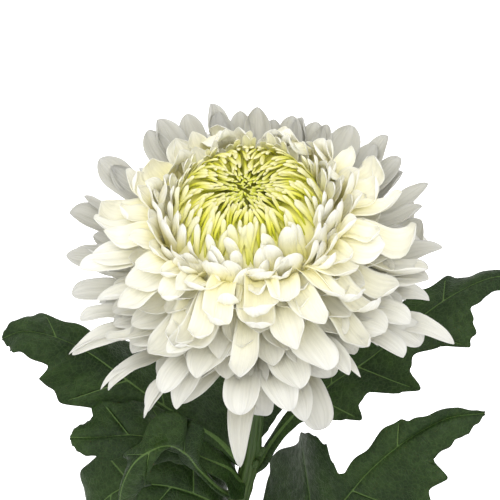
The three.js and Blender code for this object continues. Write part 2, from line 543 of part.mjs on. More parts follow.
leaf('leaf_3', {
  line: [[-10.8, -4, -99.8], [-21.2, -8, -84.5], [-36, -10, -75.7], [-48.9, -12, -73.7], [-58, -13, -79],
    [-63.9, -13, -92], [-67.8, -12, -106.8]],
  up: [[0.4, -0.5, 1], [-0.9, -0.7, 0.5]], lean: [0, 30], wave: 1.5, waves: 2.8, phase: 4,
  near: [[0, 1.6], [0.12, 2], [0.22, 8], [0.32, 16], [0.4, 18], [0.48, 12], [0.56, 16], [0.66, 19], [0.74, 12],
    [0.82, 11], [0.9, 8], [0.96, 5], [1, 0.6]],
  far: [[0, 1.6], [0.1, 2], [0.2, 12], [0.3, 18], [0.4, 16], [0.48, 13], [0.56, 17], [0.64, 17], [0.72, 13],
    [0.8, 8], [0.9, 6], [0.96, 4], [1, 0.6]],
  bankNear: LEVEL, bankFar: LEVEL,
});
leaf('leaf_4', {
  line: [[-9.9, -5, -87], [-14.8, -9, -79.4], [-22.6, -17, -61], [-28, -24, -46], [-35, -30, -36.5],
    [-44, -35, -38], [-50, -36, -50], [-52.2, -35, -66]],
  up: [[0.3, -0.4, 1], [-0.5, -0.6, 0.7]], lean: [0, 30], wave: 1, waves: 3, phase: 1,
  near: [[0, 1.5], [0.34, 1.8], [0.42, 5], [0.48, 9], [0.54, 10], [0.6, 7], [0.68, 11], [0.76, 11], [0.82, 7],
    [0.9, 7], [0.96, 4], [1, 0.6]],
  far: [[0, 1.5], [0.3, 1.8], [0.38, 6], [0.44, 11], [0.5, 12], [0.56, 12], [0.62, 8], [0.7, 11], [0.78, 10],
    [0.84, 7], [0.92, 6], [0.97, 4], [1, 0.6]],
  bankNear: [[0, 0], [0.4, -40], [1, -58]], bankFar: [[0, 0], [0.3, -12], [0.45, -30], [1, -55]],
});
leaf('leaf_5', {
  line: [[-2.3, 1, -76], [4.1, 4, -67.5], [13, 8, -55.8], [25.7, 13, -45.7], [40.7, 19, -37.6], [57.6, 27, -26.2],
    [72.7, 34, -18.6], [86, 39, -15.1], [97, 41, -15.3]],
  up: [[-0.6, -0.5, 1], [-0.2, -0.45, 1]], lean: [10, 34], wave: 1.6, waves: 3, phase: 5.2,
  near: [[0, 1.8], [0.1, 2.6], [0.2, 4], [0.28, 8], [0.36, 14], [0.42, 13], [0.5, 12], [0.56, 13], [0.62, 12],
    [0.7, 10], [0.76, 12], [0.8, 8.5], [0.86, 6.5], [0.93, 4.5], [0.97, 3], [1, 0.6]],
  far: [[0, 1.8], [0.05, 3], [0.14, 3], [0.2, 4], [0.24, 6], [0.28, 15], [0.3, 20], [0.34, 14], [0.38, 12],
    [0.42, 22], [0.45, 26], [0.5, 15], [0.55, 12.5], [0.6, 15], [0.63, 24.5], [0.68, 21], [0.73, 15], [0.78, 10.4],
    [0.84, 8], [0.92, 6], [0.97, 3.5], [1, 0.6]],
  bankNear: [[0, 0], [0.6, 4], [0.8, -20], [1, -24]], bankFar: [[0, 0], [0.5, -6], [1, -6]],
});
leaf('leaf_6', {
  line: [[-5.8, -3, -110], [5, -10, -106], [16.7, -16, -97], [27.4, -20, -78.5], [39.6, -21, -57],
    [52.8, -21, -41.6], [66.9, -19, -33.2], [80.3, -17, -32.6]],
  up: [[-0.3, -0.3, 1], [-0.55, -0.75, 0.6]], lean: [-8, 28], wave: 1.6, waves: 2.8, phase: 3.1,
  near: [[0, 1.8], [0.06, 2.2], [0.1, 22], [0.14, 32], [0.19, 36], [0.25, 38], [0.3, 36.5], [0.34, 34],
    [0.38, 32.5], [0.42, 29], [0.46, 17], [0.49, 10], [0.52, 8.3], [0.6, 8.7], [0.68, 10.8], [0.73, 11],
    [0.77, 6.8], [0.84, 5], [0.91, 3.5], [0.97, 1.6], [1, 0.6]],
  far: [[0, 1.8], [0.12, 2.2], [0.22, 7], [0.3, 16], [0.38, 22.5], [0.46, 27], [0.52, 31], [0.58, 27], [0.65, 23],
    [0.71, 22], [0.75, 13], [0.8, 10.6], [0.87, 9.5], [0.93, 7], [0.97, 4], [1, 0.6]],
  bankNear: [[0, 0], [0.5, 16], [1, 20]], bankFar: [[0, 0], [0.5, -8], [1, -10]],
});
leaf('leaf_7', {
  line: [[-2.7, 3, -64.5], [0.3, 12, -60], [4.1, 20, -55.5], [8.4, 28, -51.4], [13.4, 36, -45.7], [18.8, 42, -40.7],
    [24, 48, -38.5]],
  up: [[0, -0.5, 1], [0, -0.3, 1]], lean: [10, 32], wave: 1.3, waves: 2.6, phase: 0.9,
  near: [[0, 1.6], [0.1, 3], [0.2, 9], [0.3, 14], [0.4, 14], [0.5, 9], [0.6, 14], [0.7, 13], [0.78, 8], [0.88, 8],
    [0.95, 5], [1, 0.6]],
  far: [[0, 1.6], [0.06, 2], [0.12, 4], [0.2, 5.5], [0.28, 7], [0.36, 11], [0.44, 14], [0.52, 9], [0.62, 13],
    [0.7, 12], [0.78, 8], [0.88, 8], [0.95, 5], [1, 0.6]],
  bankNear: LEVEL, bankFar: LEVEL,
});

export default football;
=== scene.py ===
"""A white football mum, a large incurved chrysanthemum, on its leafy stem in a glass bottle of water."""
import math

import bpy
import numpy as np
from bpy.props import FloatProperty, FloatVectorProperty, IntProperty, PointerProperty
from mathutils import Matrix, Vector


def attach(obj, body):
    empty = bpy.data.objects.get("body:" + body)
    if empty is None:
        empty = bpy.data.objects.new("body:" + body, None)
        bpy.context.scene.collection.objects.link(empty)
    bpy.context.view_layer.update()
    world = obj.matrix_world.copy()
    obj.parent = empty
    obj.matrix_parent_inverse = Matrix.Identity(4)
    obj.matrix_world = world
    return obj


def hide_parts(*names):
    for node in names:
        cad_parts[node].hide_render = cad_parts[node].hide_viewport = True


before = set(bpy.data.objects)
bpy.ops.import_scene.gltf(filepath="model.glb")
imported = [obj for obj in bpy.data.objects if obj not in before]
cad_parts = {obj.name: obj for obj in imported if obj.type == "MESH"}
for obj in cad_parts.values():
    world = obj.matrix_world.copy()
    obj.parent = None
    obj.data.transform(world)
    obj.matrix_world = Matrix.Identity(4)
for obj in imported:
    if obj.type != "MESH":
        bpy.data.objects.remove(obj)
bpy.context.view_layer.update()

bl_info = {
    "name": "Football mum in vase",
    "version": (1, 0, 0),
    "blender": (4, 5, 0),
    "location": "3D View > Sidebar > Football mum",
    "description": "Builds a white football mum on its leafy stem in a glass vase, round the packed model",
    "category": "Object",
}

MM = 0.001
GOLDEN = math.radians(137.50776)
CALYX = (17.6, 0.0, 280.0)   # where the bloom sits on its stem, in millimetres
STEM_FOOT = 8.4


# Sizes and colours that a user would change.

class BloomSettings(bpy.types.PropertyGroup):
    nod_forward: FloatProperty(name="Nod forward", description="Lean of the bloom towards the viewer",
                               default=math.radians(7), subtype='ANGLE')
    nod_left: FloatProperty(name="Nod left", description="Lean of the bloom to the left",
                            default=math.radians(5.5), subtype='ANGLE')
    petal_thickness: FloatProperty(name="Petal thickness", description="Thickness of a petal at its middle",
                                   default=0.00042, unit='LENGTH')
    seed: IntProperty(name="Seed", description="Start of the random draw for the petals", default=20)
    white: FloatVectorProperty(name="Petal white", description="Colour of the petals' outer half",
                               default=(0.96, 0.95, 0.875), subtype='COLOR')
    cream: FloatVectorProperty(name="Petal cream", description="Colour down in the hollows between petals",
                               default=(0.95, 0.89, 0.5), subtype='COLOR')
    heart: FloatVectorProperty(name="Heart green", description="Colour of the florets near the eye",
                               default=(0.82, 0.8, 0.06), subtype='COLOR')


class LeafSettings(bpy.types.PropertyGroup):
    thickness: FloatProperty(name="Blade thickness", description="Thickness of a leaf between its veins",
                             default=0.00055, unit='LENGTH')
    green: FloatVectorProperty(name="Leaf green", description="Colour of the upper side",
                               default=(0.01, 0.027, 0.004), subtype='COLOR')
    vein: FloatVectorProperty(name="Vein green", description="Colour of the midrib and veins",
                              default=(0.1, 0.17, 0.045), subtype='COLOR')


class StemSettings(bpy.types.PropertyGroup):
    radius: FloatProperty(name="Radius", description="Radius of the stem", default=0.0031, unit='LENGTH')
    green: FloatVectorProperty(name="Stem green", description="Colour of the stem",
                               default=(0.028, 0.06, 0.01), subtype='COLOR')


class VaseSettings(bpy.types.PropertyGroup):
    tint: FloatVectorProperty(name="Glass tint", description="Colour of the glass",
                              default=(0.95, 0.98, 0.972), subtype='COLOR')
    water_level: FloatProperty(name="Water level", description="Height of the water above the vase's foot",
                               default=0.092, unit='LENGTH')


class StageSettings(bpy.types.PropertyGroup):
    elevation: FloatProperty(name="Camera elevation", description="Angle of the camera above the horizon",
                             default=math.radians(38), subtype='ANGLE')
    distance: FloatProperty(name="Camera distance", description="From the camera to the bloom", default=0.75,
                            unit='LENGTH')
    view: FloatProperty(name="View width", description="Width that the camera sees at the bloom",
                        default=0.1735, unit='LENGTH')
    floor: FloatVectorProperty(name="Floor", description="Colour of the floor", default=(0.8, 0.8, 0.8),
                               subtype='COLOR')


# Small mathematics that several pieces use.

class Draw:
    """A seeded draw of numbers that gives the same ones on every run."""

    def __init__(self, seed):
        self.state = seed & 0xffffffff

    def next(self):
        self.state = (1664525 * self.state + 1013904223) & 0xffffffff
        return self.state / 4294967296.0

    def span(self, low, high):
        """The next number, between low and high."""
        return low + (high - low) * self.next()


def lerp(a, b, t):
    """The value at share t of the way from a to b."""
    return a + (b - a) * t


def smooth(a, b, x):
    """From 0 at a to 1 at b, level at both ends."""
    t = np.clip((np.asarray(x, float) - a) / (b - a), 0, 1)
    return t * t * (3 - 2 * t)


def table(points, x):
    """The value at x in a table of (place, value) pairs."""
    return float(np.interp(x, [p[0] for p in points], [p[1] for p in points]))


def eased(points, x):
    """The table's values with level turns at its points, so that lobes and bays are round."""
    x = np.asarray(x, float)
    out = np.full(x.shape, points[-1][1], float)
    out[x <= points[0][0]] = points[0][1]
    for (x0, y0), (x1, y1) in zip(points, points[1:]):
        inside = (x > x0) & (x <= x1)
        out[inside] = y0 + (y1 - y0) * smooth(x0, x1, x[inside])
    return out


class Profile:
    """A smooth curve of (radius, height) points, read by its length."""

    def __init__(self, points, mirrored=False):
        P = np.array(points, float)
        n = len(P)
        out = []
        for i in range(n - 1):
            first = np.array([-P[1][0], P[1][1]]) if mirrored else 2 * P[0] - P[1]
            p0 = P[i - 1] if i else first
            p1, p2 = P[i], P[i + 1]
            p3 = P[i + 2] if i + 2 < n else 2 * P[i + 1] - P[i]
            for t in np.linspace(0, 1, 20, endpoint=False):
                out.append(0.5 * (2 * p1 + (p2 - p0) * t + (2 * p0 - 5 * p1 + 4 * p2 - p3) * t * t
                                  + (3 * p1 - p0 - 3 * p2 + p3) * t ** 3))
        out.append(P[-1])
        self.P = np.array(out)
        self.S = np.concatenate([[0], np.cumsum(np.hypot(*np.diff(self.P, axis=0).T))])
        self.end = float(self.S[-1])

    def at(self, d):
        """Radius and height at length d."""
        return float(np.interp(d, self.S, self.P[:, 0])), float(np.interp(d, self.S, self.P[:, 1]))


class Line:
    """A smooth space curve through points, read by its share of the length."""

    def __init__(self, points):
        P = [np.array(p, float) for p in points]
        P = [2 * P[0] - P[1], *P, 2 * P[-1] - P[-2]]
        out = []
        for i in range(1, len(P) - 2):
            a, b, c, d = P[i - 1:i + 3]
            k1, k2, k3 = [max(1e-4, float(np.linalg.norm(v - u))) ** 0.5 for u, v in ((a, b), (b, c), (c, d))]
            m1 = (b - a) / k1 - (c - a) / (k1 + k2) + (c - b) / k2
            m2 = (c - b) / k2 - (d - b) / (k2 + k3) + (d - c) / k3
            m1, m2 = m1 * k2, m2 * k2
            for t in np.linspace(0, 1, 30, endpoint=False):
                bend, turn = 3 * (c - b) - 2 * m1 - m2, 2 * (b - c) + m1 + m2
                out.append(b + m1 * t + bend * t * t + turn * t ** 3)
        out.append(P[-2])
        self.P = np.array(out)
        self.S = np.concatenate([[0], np.cumsum(np.linalg.norm(np.diff(self.P, axis=0), axis=1))])
        self.length = float(self.S[-1])

    def at(self, s):
        """The points at shares s."""
        s = np.asarray(s, float) * self.length
        return np.stack([np.interp(s, self.S, self.P[:, c]) for c in range(3)], -1)

    def along(self, s):
        """The line's direction at shares s."""
        e = 0.004
        d = self.at(np.clip(np.asarray(s) + e, 0, 1)) - self.at(np.clip(np.asarray(s) - e, 0, 1))
        return d / np.linalg.norm(d, axis=-1, keepdims=True)


def unit(v):
    """The vectors at length 1."""
    return v / (np.linalg.norm(v, axis=-1, keepdims=True) + 1e-12)


# The petals, in millimetres in the bloom's own frame: the calyx at the origin, the bloom's axis along +Z.
# BUN is the surface of the incurved florets, read from the eye down, and RAY the one that the spreading
# petals' tips lie on, read from the inner ones down. The tables below give a value for a place on them.

BUN = Profile([(0, 58.4), (4, 58.8), (8, 59.6), (12, 60.6), (16, 61.2), (20, 60), (23.5, 57), (26.5, 52.5),
               (29, 46.5), (30.4, 40), (30.2, 32), (28, 24), (23, 16), (16, 10), (10, 7)], True)
HEART_TIPS = 22                  # florets whose tips are nearer to the eye than this belong to the heart
BUN_TIPS = 38                    # florets of the bun end no further down its side than this
RAY = Profile([(30, 55), (36, 53.5), (43, 51), (50, 47.5), (57, 41.5), (62.5, 32), (64, 21), (61, 9), (55, 0),
               (49, -7)])
UPPER_END, MIDDLE_END = 26, 52   # where the upper and the middle petals end on RAY
W_BUN = [(0, 0.5), (7, 0.75), (14, 1.05), (18, 1.4), (24, 2.2), (34, 3.6), (50, 7)]
E_BUN = [(0, 1.2), (7, 2.8), (14, 4.8), (18, 6.4), (24, 8), (34, 9.5), (50, 16)]
LIFT_BUN = [(0, 0.3), (10, 0.7), (16, 1.4), (21, 3.4), (26, 6), (34, 8)]
OFF_BUN = [(0, 0.72), (20, 0.7), (34, 0.55)]
CUP_BUN = [(0, 1.1), (20, 1.15), (34, 1)]
W_RAY = [(0, 10.5), (10, 12), (20, 13), (35, 13.8), (60, 13.8), (84, 13)]
E_RAY = [(0, 7), (10, 7), (20, 8.5), (35, 11.5), (60, 13.5), (84, 15)]
W_FILL = [(0, 12), (84, 14)]
E_FILL = [(0, 11), (84, 13)]
FILL_START, FILL_END = 12, 56    # shorter petals close the bloom between these places
A_RAY = [(0, 82), (8, 74), (16, 62), (26, 46), (36, 28), (46, 8), (56, -16), (68, -42), (84, -64)]
ROOT_RAY = [(0, 84), (17, 70), (30, 60), (45, 44), (60, 18), (84, -12)]
CURL_RAY = [(0, 0.76), (20, 0.78), (40, 0.74), (84, 0.5)]
STAY_RAY = [(0, 0.5), (20, 0.46), (40, 0.36), (60, 0.1)]
CUP_RAY = [(0, 1.1), (20, 0.95), (40, 0.85), (60, 0.7), (84, 0.55)]
SET_BACK, RAISED = 1.5, 1        # the heart is moved back and up by this
TIP_HEIGHTS = (18, 41)           # fully above the second height
TIP_RADII = (22, 50)             # and inside the first radius
CROWN, CORE = (28, 24), (13, 9)  # radius and height of the inner petals' roots, and size of the core below
HUB = 20                         # height that the spreading petals reach away from
LINE_STEPS, HALVINGS = 48, 26    # steps along a spreading petal, and in the search for its middle angle
BROADER, BROADEST = 1.45, 2.5    # floret width over its share of the surface, at the eye and at the ring
# The petals of the outline: azimuth, tip radius, tip height, place on RAY, width, pointedness.
EDGE = [
    (121, 60.9, 50, 28, 11, .3), (113, 59.1, 48.8, 27, 8, .6), (127, 60.1, 48.3, 28, 9, .4),
    (104, 59.4, 50.1, 27, 9, .5), (100, 57.2, 47.4, 27, 8, .4), (93, 56.6, 46.8, 27, 8, .4),
    (87, 57.1, 47.6, 27, 10, .3), (82, 55.4, 43.2, 28, 7, .5), (73, 56, 45, 28, 9, .4),
    (70, 56.2, 44.8, 28, 8, .4), (64, 56, 44.1, 28, 9, .3), (59, 56.4, 43.9, 29, 8, .3),
    (51, 59.6, 44.4, 30, 11, .2), (42, 59.4, 41.5, 32, 8, .6), (39, 64.1, 43.5, 33, 9, .5),
    (33, 63.2, 38.8, 36, 8, .4), (29, 61.7, 35.2, 38, 8, .4), (20, 66.6, 34.9, 41, 6, 1),
    (10, 60.4, 36.4, 37, 7, .7), (1, 65.4, 24.4, 49, 11, .8), (345, 61.9, 33.2, 41, 9, .4),
    (342, 62.6, 31.5, 42, 11, .2), (337, 72.8, 8.9, 62, 9, .9), (333, 62.7, 9.6, 64, 11, .2),
    (320, 63, 15.3, 58, 12, .2), (303, 63.9, 22.8, 51, 7, 1), (300, 63.5, 26.2, 48, 9, .6),
    (290, 56.7, -3.4, 78, 12, .3), (283, 60.7, 8.3, 66, 11, .8), (265, 63.6, 18.7, 55, 13, 0),
    (261, 63.6, -8.6, 78, 10, 1), (245, 63.3, 16.4, 58, 11, .7), (240, 63.9, 23.4, 51, 10, .3),
    (231, 61.3, 5.5, 68, 8, .5), (230, 64.1, 4.8, 68, 5, 1), (216, 65.6, 8.5, 64, 8, .9),
    (215, 67.5, 8.7, 64, 5, 1), (205, 70.4, 16, 57, 9, .9), (203, 71.5, 16.6, 56, 6, .9),
    (197, 64, 22.4, 52, 8, .4), (188, 64.7, 25, 49, 10, .3), (176, 66.1, 31.3, 43, 9, .9),
    (163, 67.2, 38.2, 38, 13, 0), (157, 64.2, 40.3, 36, 4, .6), (145, 60.3, 44.2, 31, 9, .4),
    (145, 64.2, 47.3, 31, 10, .4),
]


def places(profile, width, step, stop):
    """Lengths along a profile where the golden-angle spiral sets one petal after another."""
    out, done, want, d = [], 0.0, 0.5, 0.05
    for s in np.arange(0, stop, d):
        done += 2 * math.pi * profile.at(s)[0] * d / (table(width, s) * table(step, s))
        while done >= want:
            out.append(float(s))
            want += 1
    return out


def bun_florets(seed):
    """The incurved florets: they climb the bun's side and bend over it towards the eye."""
    draw, rows = Draw(seed), []
    for i, d in enumerate(places(BUN, W_BUN, E_BUN, BUN_TIPS)):
        step = table(E_BUN, d)
        far = float(smooth(18, 32, d))
        rows.append(dict(
            ray=0, d=d + draw.span(-0.3, 0.3) * step,
            az=i * GOLDEN + draw.span(-1, 1) * lerp(0.22, 0.12, far),
            reach=step * draw.span(2, 2.5) + 2, depth=1.6 + 0.22 * step,
            lift=table(LIFT_BUN, d) * draw.span(0.1, 1), off=table(OFF_BUN, d),
            w=table(W_BUN, d) * draw.span(0.7, 1.35) * lerp(BROADER, BROADEST, far),
            base=lerp(0.5, 0.85, far), cup=table(CUP_BUN, d) * draw.span(0.75, 1.2),
            point=draw.span(0.05, 0.7),
            twist=draw.span(-0.35, 0.35) * (1 + far), side=draw.span(-0.2, 0.2), chance=draw.next(),
            roll=draw.span(-0.3, 0.3)))
    return rows


def root_angle(d, az):
    """How steeply a ray petal leaves its root: those at the back stand up, those in front arch over."""
    return math.radians(table(ROOT_RAY, d) - 22 * max(0, math.sin(az)) + 6 * max(0, -math.sin(az)))


def tip_angle(d, az):
    """How steeply a ray petal's tip points up."""
    return math.radians(table(A_RAY, d) + 15 * math.sin(az) * float(smooth(-4, 22, d)))


def ray_petals(seed):
    """The spreading petals in their layers, with those of the outline set one by one."""
    draw, rows = Draw(seed), []

    def root(d):
        f = math.radians(lerp(40, 100, d / RAY.end))
        k = float(smooth(8, 34, d))
        return lerp(CROWN[0], CORE[0] * math.sin(f), k), lerp(CROWN[1], CORE[1] * math.cos(f), k)

    for i, d in enumerate(places(RAY, W_RAY, E_RAY, RAY.end)):
        az = i * GOLDEN + draw.span(-1, 1) * 0.13 + 1.0
        r1, z1 = RAY.at(d)
        wild = float(smooth(5, 45, d))                              # lower petals vary more
        free = float(smooth(2, 12, d) * (1 - smooth(44, 64, d)))    # some of the middle ones turn a lip up
        th1 = tip_angle(d, az) + math.radians(draw.span(-1, 1) * (16 + 6 * wild + 14 * free))
        deg = math.degrees(az) % 360
        reach = draw.span(-1, 1) * (1.5 + 1.5 * wild) - 1.5 * wild
        # The outline swells at the upper left and draws in at the lower right and underneath.
        reach += 3.5 * math.exp(-((deg - 132) / 32) ** 2) * float(smooth(8, 20, d) * (1 - smooth(38, 52, d)))
        reach -= 9 * math.exp(-((deg - 312) / 17) ** 2) * float(smooth(46, 60, d))
        reach -= 6 * float(smooth(54, 68, d))
        curl = table(CURL_RAY, d) + draw.span(-0.12, 0.1)
        if draw.next() < 0.45 * free:
            th1 += math.radians(draw.span(20, 50))
            curl = draw.span(0.6, 0.72)
        # The innermost ones stand over the ring of florets, except in front.
        over = float(smooth(-0.8, 0.5, math.sin(az)) * (1 - smooth(2, 17, d)))
        r1, z1 = r1 - 1.5 * over, z1 + 5 * over
        far = math.hypot(r1, z1 - HUB)
        r1, z1 = r1 + reach * r1 / far, z1 + reach * (z1 - HUB) / far
        rows.append(dict(
            ray=1, d=d, az=az, root=root(d), tip=(r1, z1), th0=root_angle(d, az), th1=th1,
            curl=curl, stay=table(STAY_RAY, d), w=table(W_RAY, d) * draw.span(0.8 - 0.18 * free, 1.18),
            cup=table(CUP_RAY, d) * draw.span(0.65, 1.35 + 0.35 * free), point=draw.span(0, 0.7),
            twist=draw.span(-0.45, 0.45) * (0.6 + 0.7 * wild + 0.3 * free),
            side=draw.span(-0.14, 0.14) * (1 + 0.5 * free + 0.7 * float(smooth(44, 64, d))),
            chance=draw.next(), roll=draw.span(-0.5, 0.5)))
    for i, d in enumerate(places(RAY, W_FILL, E_FILL, FILL_END)):
        if d < FILL_START:
            continue
        az = (i + 0.5) * GOLDEN + draw.span(-1, 1) * 0.15
        r1, z1 = RAY.at(d)
        r0, z0 = root(d)
        rows.append(dict(
            ray=1, d=d, az=az, root=(r0, z0), tip=(lerp(r0, r1, 0.8), lerp(z0, z1, 0.8)),
            th0=root_angle(d, az), th1=tip_angle(d, az) + draw.span(-0.2, 0.2), curl=0.7,
            stay=table(STAY_RAY, d), w=table(W_RAY, d) * draw.span(0.85, 1.1), cup=draw.span(0.6, 1),
            point=draw.span(0, 0.6), twist=draw.span(-0.3, 0.3), side=draw.span(-0.1, 0.1),
            chance=draw.next(), roll=draw.span(-0.4, 0.4), fill=True))
    # Each petal of the outline takes the place of the free one that ends nearest to it.
    free = [p for p in rows if "fill" not in p]
    for deg, r, z, arc, w, point in EDGE:
        a = math.radians(deg)
        at = np.array([r * math.cos(a), r * math.sin(a), z])

        def away(p):
            q, (pr, pz) = p["az"], p["tip"]
            return float(np.sum((np.array([pr * math.cos(q), pr * math.sin(q), pz]) - at) ** 2))

        best = min(free, key=away)
        free.remove(best)
        behind = float(smooth(-0.3, 0.6, math.sin(a)))
        # Outline petals get a higher place value towards the back and the sides, which the petal material
        # turns grey: painted shade.
        age = max(arc, 56) + 30 * float(smooth(-0.6, 0.2, math.sin(a)))
        best.update(d=arc, age=age, az=a, tip=(r, z), th1=tip_angle(arc, a),
                    w=w * (1 + 0.22 * behind), point=point * (1 - 0.4 * behind),
                    root=root(arc), th0=root_angle(arc, a), stay=table(STAY_RAY, arc),
                    side=best["side"] * 0.1, twist=best["twist"] * 0.6)
    return rows


def over_line(p, s):
    """The line of an incurved floret: from under the bun's surface to its tip, which stands off a little."""
    d = p["d"] + p["reach"] * (1 - s)
    r, z = np.interp(d, BUN.S, BUN.P[:, 0]), np.interp(d, BUN.S, BUN.P[:, 1])
    h = 0.5
    tr = np.interp(d - h, BUN.S, BUN.P[:, 0]) - np.interp(d + h, BUN.S, BUN.P[:, 0])
    tz = np.interp(d - h, BUN.S, BUN.P[:, 1]) - np.interp(d + h, BUN.S, BUN.P[:, 1])
    size = np.hypot(tr, tz)
    up = p["lift"] * smooth(p["off"], 1, s) - p["depth"] * (1 - s) ** 1.6
    r, z = r + tz / size * up, z - tr / size * up
    th = np.unwrap(np.arctan2(np.gradient(z), np.gradient(r)))
    return r, z, th, p["reach"]


def petal_line(p, s):
    """The line that leaves the root along th0 and reaches the tip along th1, in the petal's upright plane."""
    (r0, z0), (r3, z3) = p["root"], p["tip"]
    chord, aim, n = math.hypot(r3 - r0, z3 - z0), math.atan2(z3 - z0, r3 - r0), LINE_STEPS
    u = (np.arange(n) + 0.5) / n
    a, b = smooth(p["stay"], p["stay"] + 0.4, u), smooth(p["curl"], 1.0, u)
    lo, hi = aim - 1.9, aim + 1.9
    for _ in range(HALVINGS):
        mid = (lo + hi) / 2
        th = p["th0"] * (1 - a) + mid * (a - b) + p["th1"] * b
        x, y = np.cumsum(np.cos(th)) / n, np.cumsum(np.sin(th)) / n
        e = (math.atan2(y[-1], x[-1]) - aim + math.pi) % (2 * math.pi) - math.pi
        if e > 0:
            hi = mid
        else:
            lo = mid
    length = chord / math.hypot(x[-1], y[-1])
    X, Y = np.concatenate([[0], x]) * length + r0, np.concatenate([[0], y]) * length + z0
    g = np.linspace(0, 1, n + 1)
    tm = np.concatenate([[th[0]], (th[1:] + th[:-1]) / 2, [th[-1]]])
    return np.interp(s, g, X), np.interp(s, g, Y), np.interp(s, g, tm), length


def petal_grid(p, ns, nx):
    """Points of a petal's middle surface, from root to tip and from edge to edge, with its shares s and x."""
    s = 1 - (1 - np.linspace(0, 1, ns + 1)) ** 1.85
    r, z, th, length = (over_line if "reach" in p else petal_line)(p, s)
    x = np.linspace(-1, 1, nx + 1)
    x = np.sign(x) * (1 - (1 - np.abs(x)) ** 1.15)
    w = p["w"]
    # The share of the length that narrows to the tip, longest on a pointed petal.
    tip = min(0.34, max(0.12, w * lerp(0.62, 1.15, p["point"]) / length))
    tip = max(tip, 0.46 * float(smooth(0.75, 1, p["point"])))
    base = p.get("base", 0.3 if p["ray"] else 0.5)
    half = w / 2 * (base + (1 - base) * smooth(0, 1, np.clip(s / (1 - tip), 0, 1)) ** 1.2)
    t = np.clip((s - 1 + tip) / tip, 0, 1)
    half = half * np.clip(1 - t ** lerp(2.6, 1.6, p["point"]), 0, 1) ** lerp(0.5, 0.66, p["point"])
    half = np.maximum(half, 0.03)
    # Across, it is cupped like a spoon, with low ridges and, on a ray petal, waved edges.
    cup = p["cup"] * (1.3 - 0.6 * smooth(0.2, 0.8, s) + 0.35 * smooth(0.86, 1, s))
    k = np.maximum(0.12, cup[:, None] * (1 + p["roll"] * x[None, :]))
    across = half[:, None] * np.sin(k * x[None, :]) / k
    lift = half[:, None] * (1 - np.cos(k * x[None, :])) / k
    full = half[:, None] / (w / 2)
    ridges = (0.016 if p["ray"] else 0.01) * w * np.cos(x * math.pi * 3)
    lift = lift + ridges[None, :] * smooth(0.15, 0.6, s)[:, None] * full
    if p["ray"]:
        wave = np.sin(s * length / w * 5 + p["chance"] * 6.28) * smooth(0.3, 0.8, s)
        lift = lift + 0.035 * w * wave[:, None] * (np.sign(x) * x ** 2)[None, :] * full
    turn = p["twist"] * s ** 1.5
    ca, sa = np.cos(turn)[:, None], np.sin(turn)[:, None]
    b = across * ca - lift * sa + (p["side"] * length * s ** 2)[:, None]
    n = across * sa + lift * ca
    pr = r[:, None] - n * np.sin(th)[:, None]
    pz = z[:, None] + n * np.cos(th)[:, None]
    ca, sa = math.cos(p["az"]), math.sin(p["az"])
    return np.stack([pr * ca - b * sa, pr * sa + b * ca, pz], -1), s, x


def settled(P):
    """Points of the bloom with its heart set back and up, where the petals behind push it."""
    share = smooth(*TIP_HEIGHTS, P[..., 2]) * (1 - smooth(*TIP_RADII, np.hypot(P[..., 0], P[..., 1])))
    return P + share[..., None] * np.array([0, SET_BACK, RAISED])


def petal_shells(rows, grid, thickness, tipped=False):
    """Vertices, faces and per-vertex values of many petals, each a closed thin shell of grid steps."""
    V, F, A, off = [], [], [], 0
    ns, nx = grid
    count = (ns + 1) * (nx + 1)
    for p in rows:
        P, s, x = petal_grid(p, ns, nx)
        n = unit(np.cross(np.gradient(P, axis=0), np.gradient(P, axis=1)))
        rim = np.sqrt(np.clip(1 - np.abs(x) ** 2.2, 0, 1)) * 0.75 + 0.25
        T = thickness * rim[None, :] * np.clip((1 - s) / 0.06, 0.25, 1)[:, None]
        V += [(P + n * (T / 2)[..., None]).reshape(-1, 3), (P - n * (T / 2)[..., None]).reshape(-1, 3)]
        F.append(shell_faces(ns, nx, off))
        one = np.broadcast_arrays(s[:, None], x[None, :], p.get("age", p["d"]), p["ray"], p["chance"])
        A += [np.stack(one, -1).reshape(-1, 5)] * 2
        off += 2 * count
    V, A = np.concatenate(V), np.concatenate(A)
    values = dict(zip(("along", "across", "place", "ray", "chance"), A.T))
    return (settled(V) if tipped else V), np.concatenate(F), values


def shell_faces(ns, nx, off=0):
    """Quads of a closed shell made of two like grids and the rim between them."""
    count = (ns + 1) * (nx + 1)
    i = np.arange(count).reshape(ns + 1, nx + 1) + off
    q = np.stack([i[:-1, :-1], i[1:, :-1], i[1:, 1:], i[:-1, 1:]], -1).reshape(-1, 4)
    loop = np.concatenate([i[0, :], i[1:, -1], i[-1, :-1][::-1], i[1:-1, 0][::-1]])
    ahead = np.roll(loop, -1)
    return np.concatenate([q, q[:, ::-1] + count, np.stack([loop, ahead, ahead + count, loop + count], -1)])


# Making pieces.

def deselect():
    """Nothing is selected, in object mode."""
    if bpy.context.object and bpy.context.object.mode != 'OBJECT':
        bpy.ops.object.mode_set(mode='OBJECT')
    bpy.ops.object.select_all(action='DESELECT')


def piece(name, V, F, values=None, matrix=None):
    """A smooth mesh object in metres from points in millimetres, with a value per vertex for each name."""
    me = bpy.data.meshes.new(name)
    me.from_pydata((np.asarray(V) * MM).tolist(), [], F.tolist() if hasattr(F, "tolist") else F)
    for key, value in (values or {}).items():
        me.attributes.new(key, 'FLOAT', 'POINT').data.foreach_set('value', np.asarray(value, np.float32))
    me.polygons.foreach_set('use_smooth', np.ones(len(me.polygons), bool))
    if matrix:
        me.transform(matrix)
    me.update()
    ob = bpy.data.objects.new(name, me)
    bpy.context.scene.collection.objects.link(ob)
    return ob


def finish_piece(ob, material, slot, *nodes):
    """The piece gets its material, rides on the object and stands for its CAD nodes."""
    ob.data.materials.clear()
    ob.data.materials.append(material)
    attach(ob, "root")
    if nodes:
        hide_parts(*nodes)


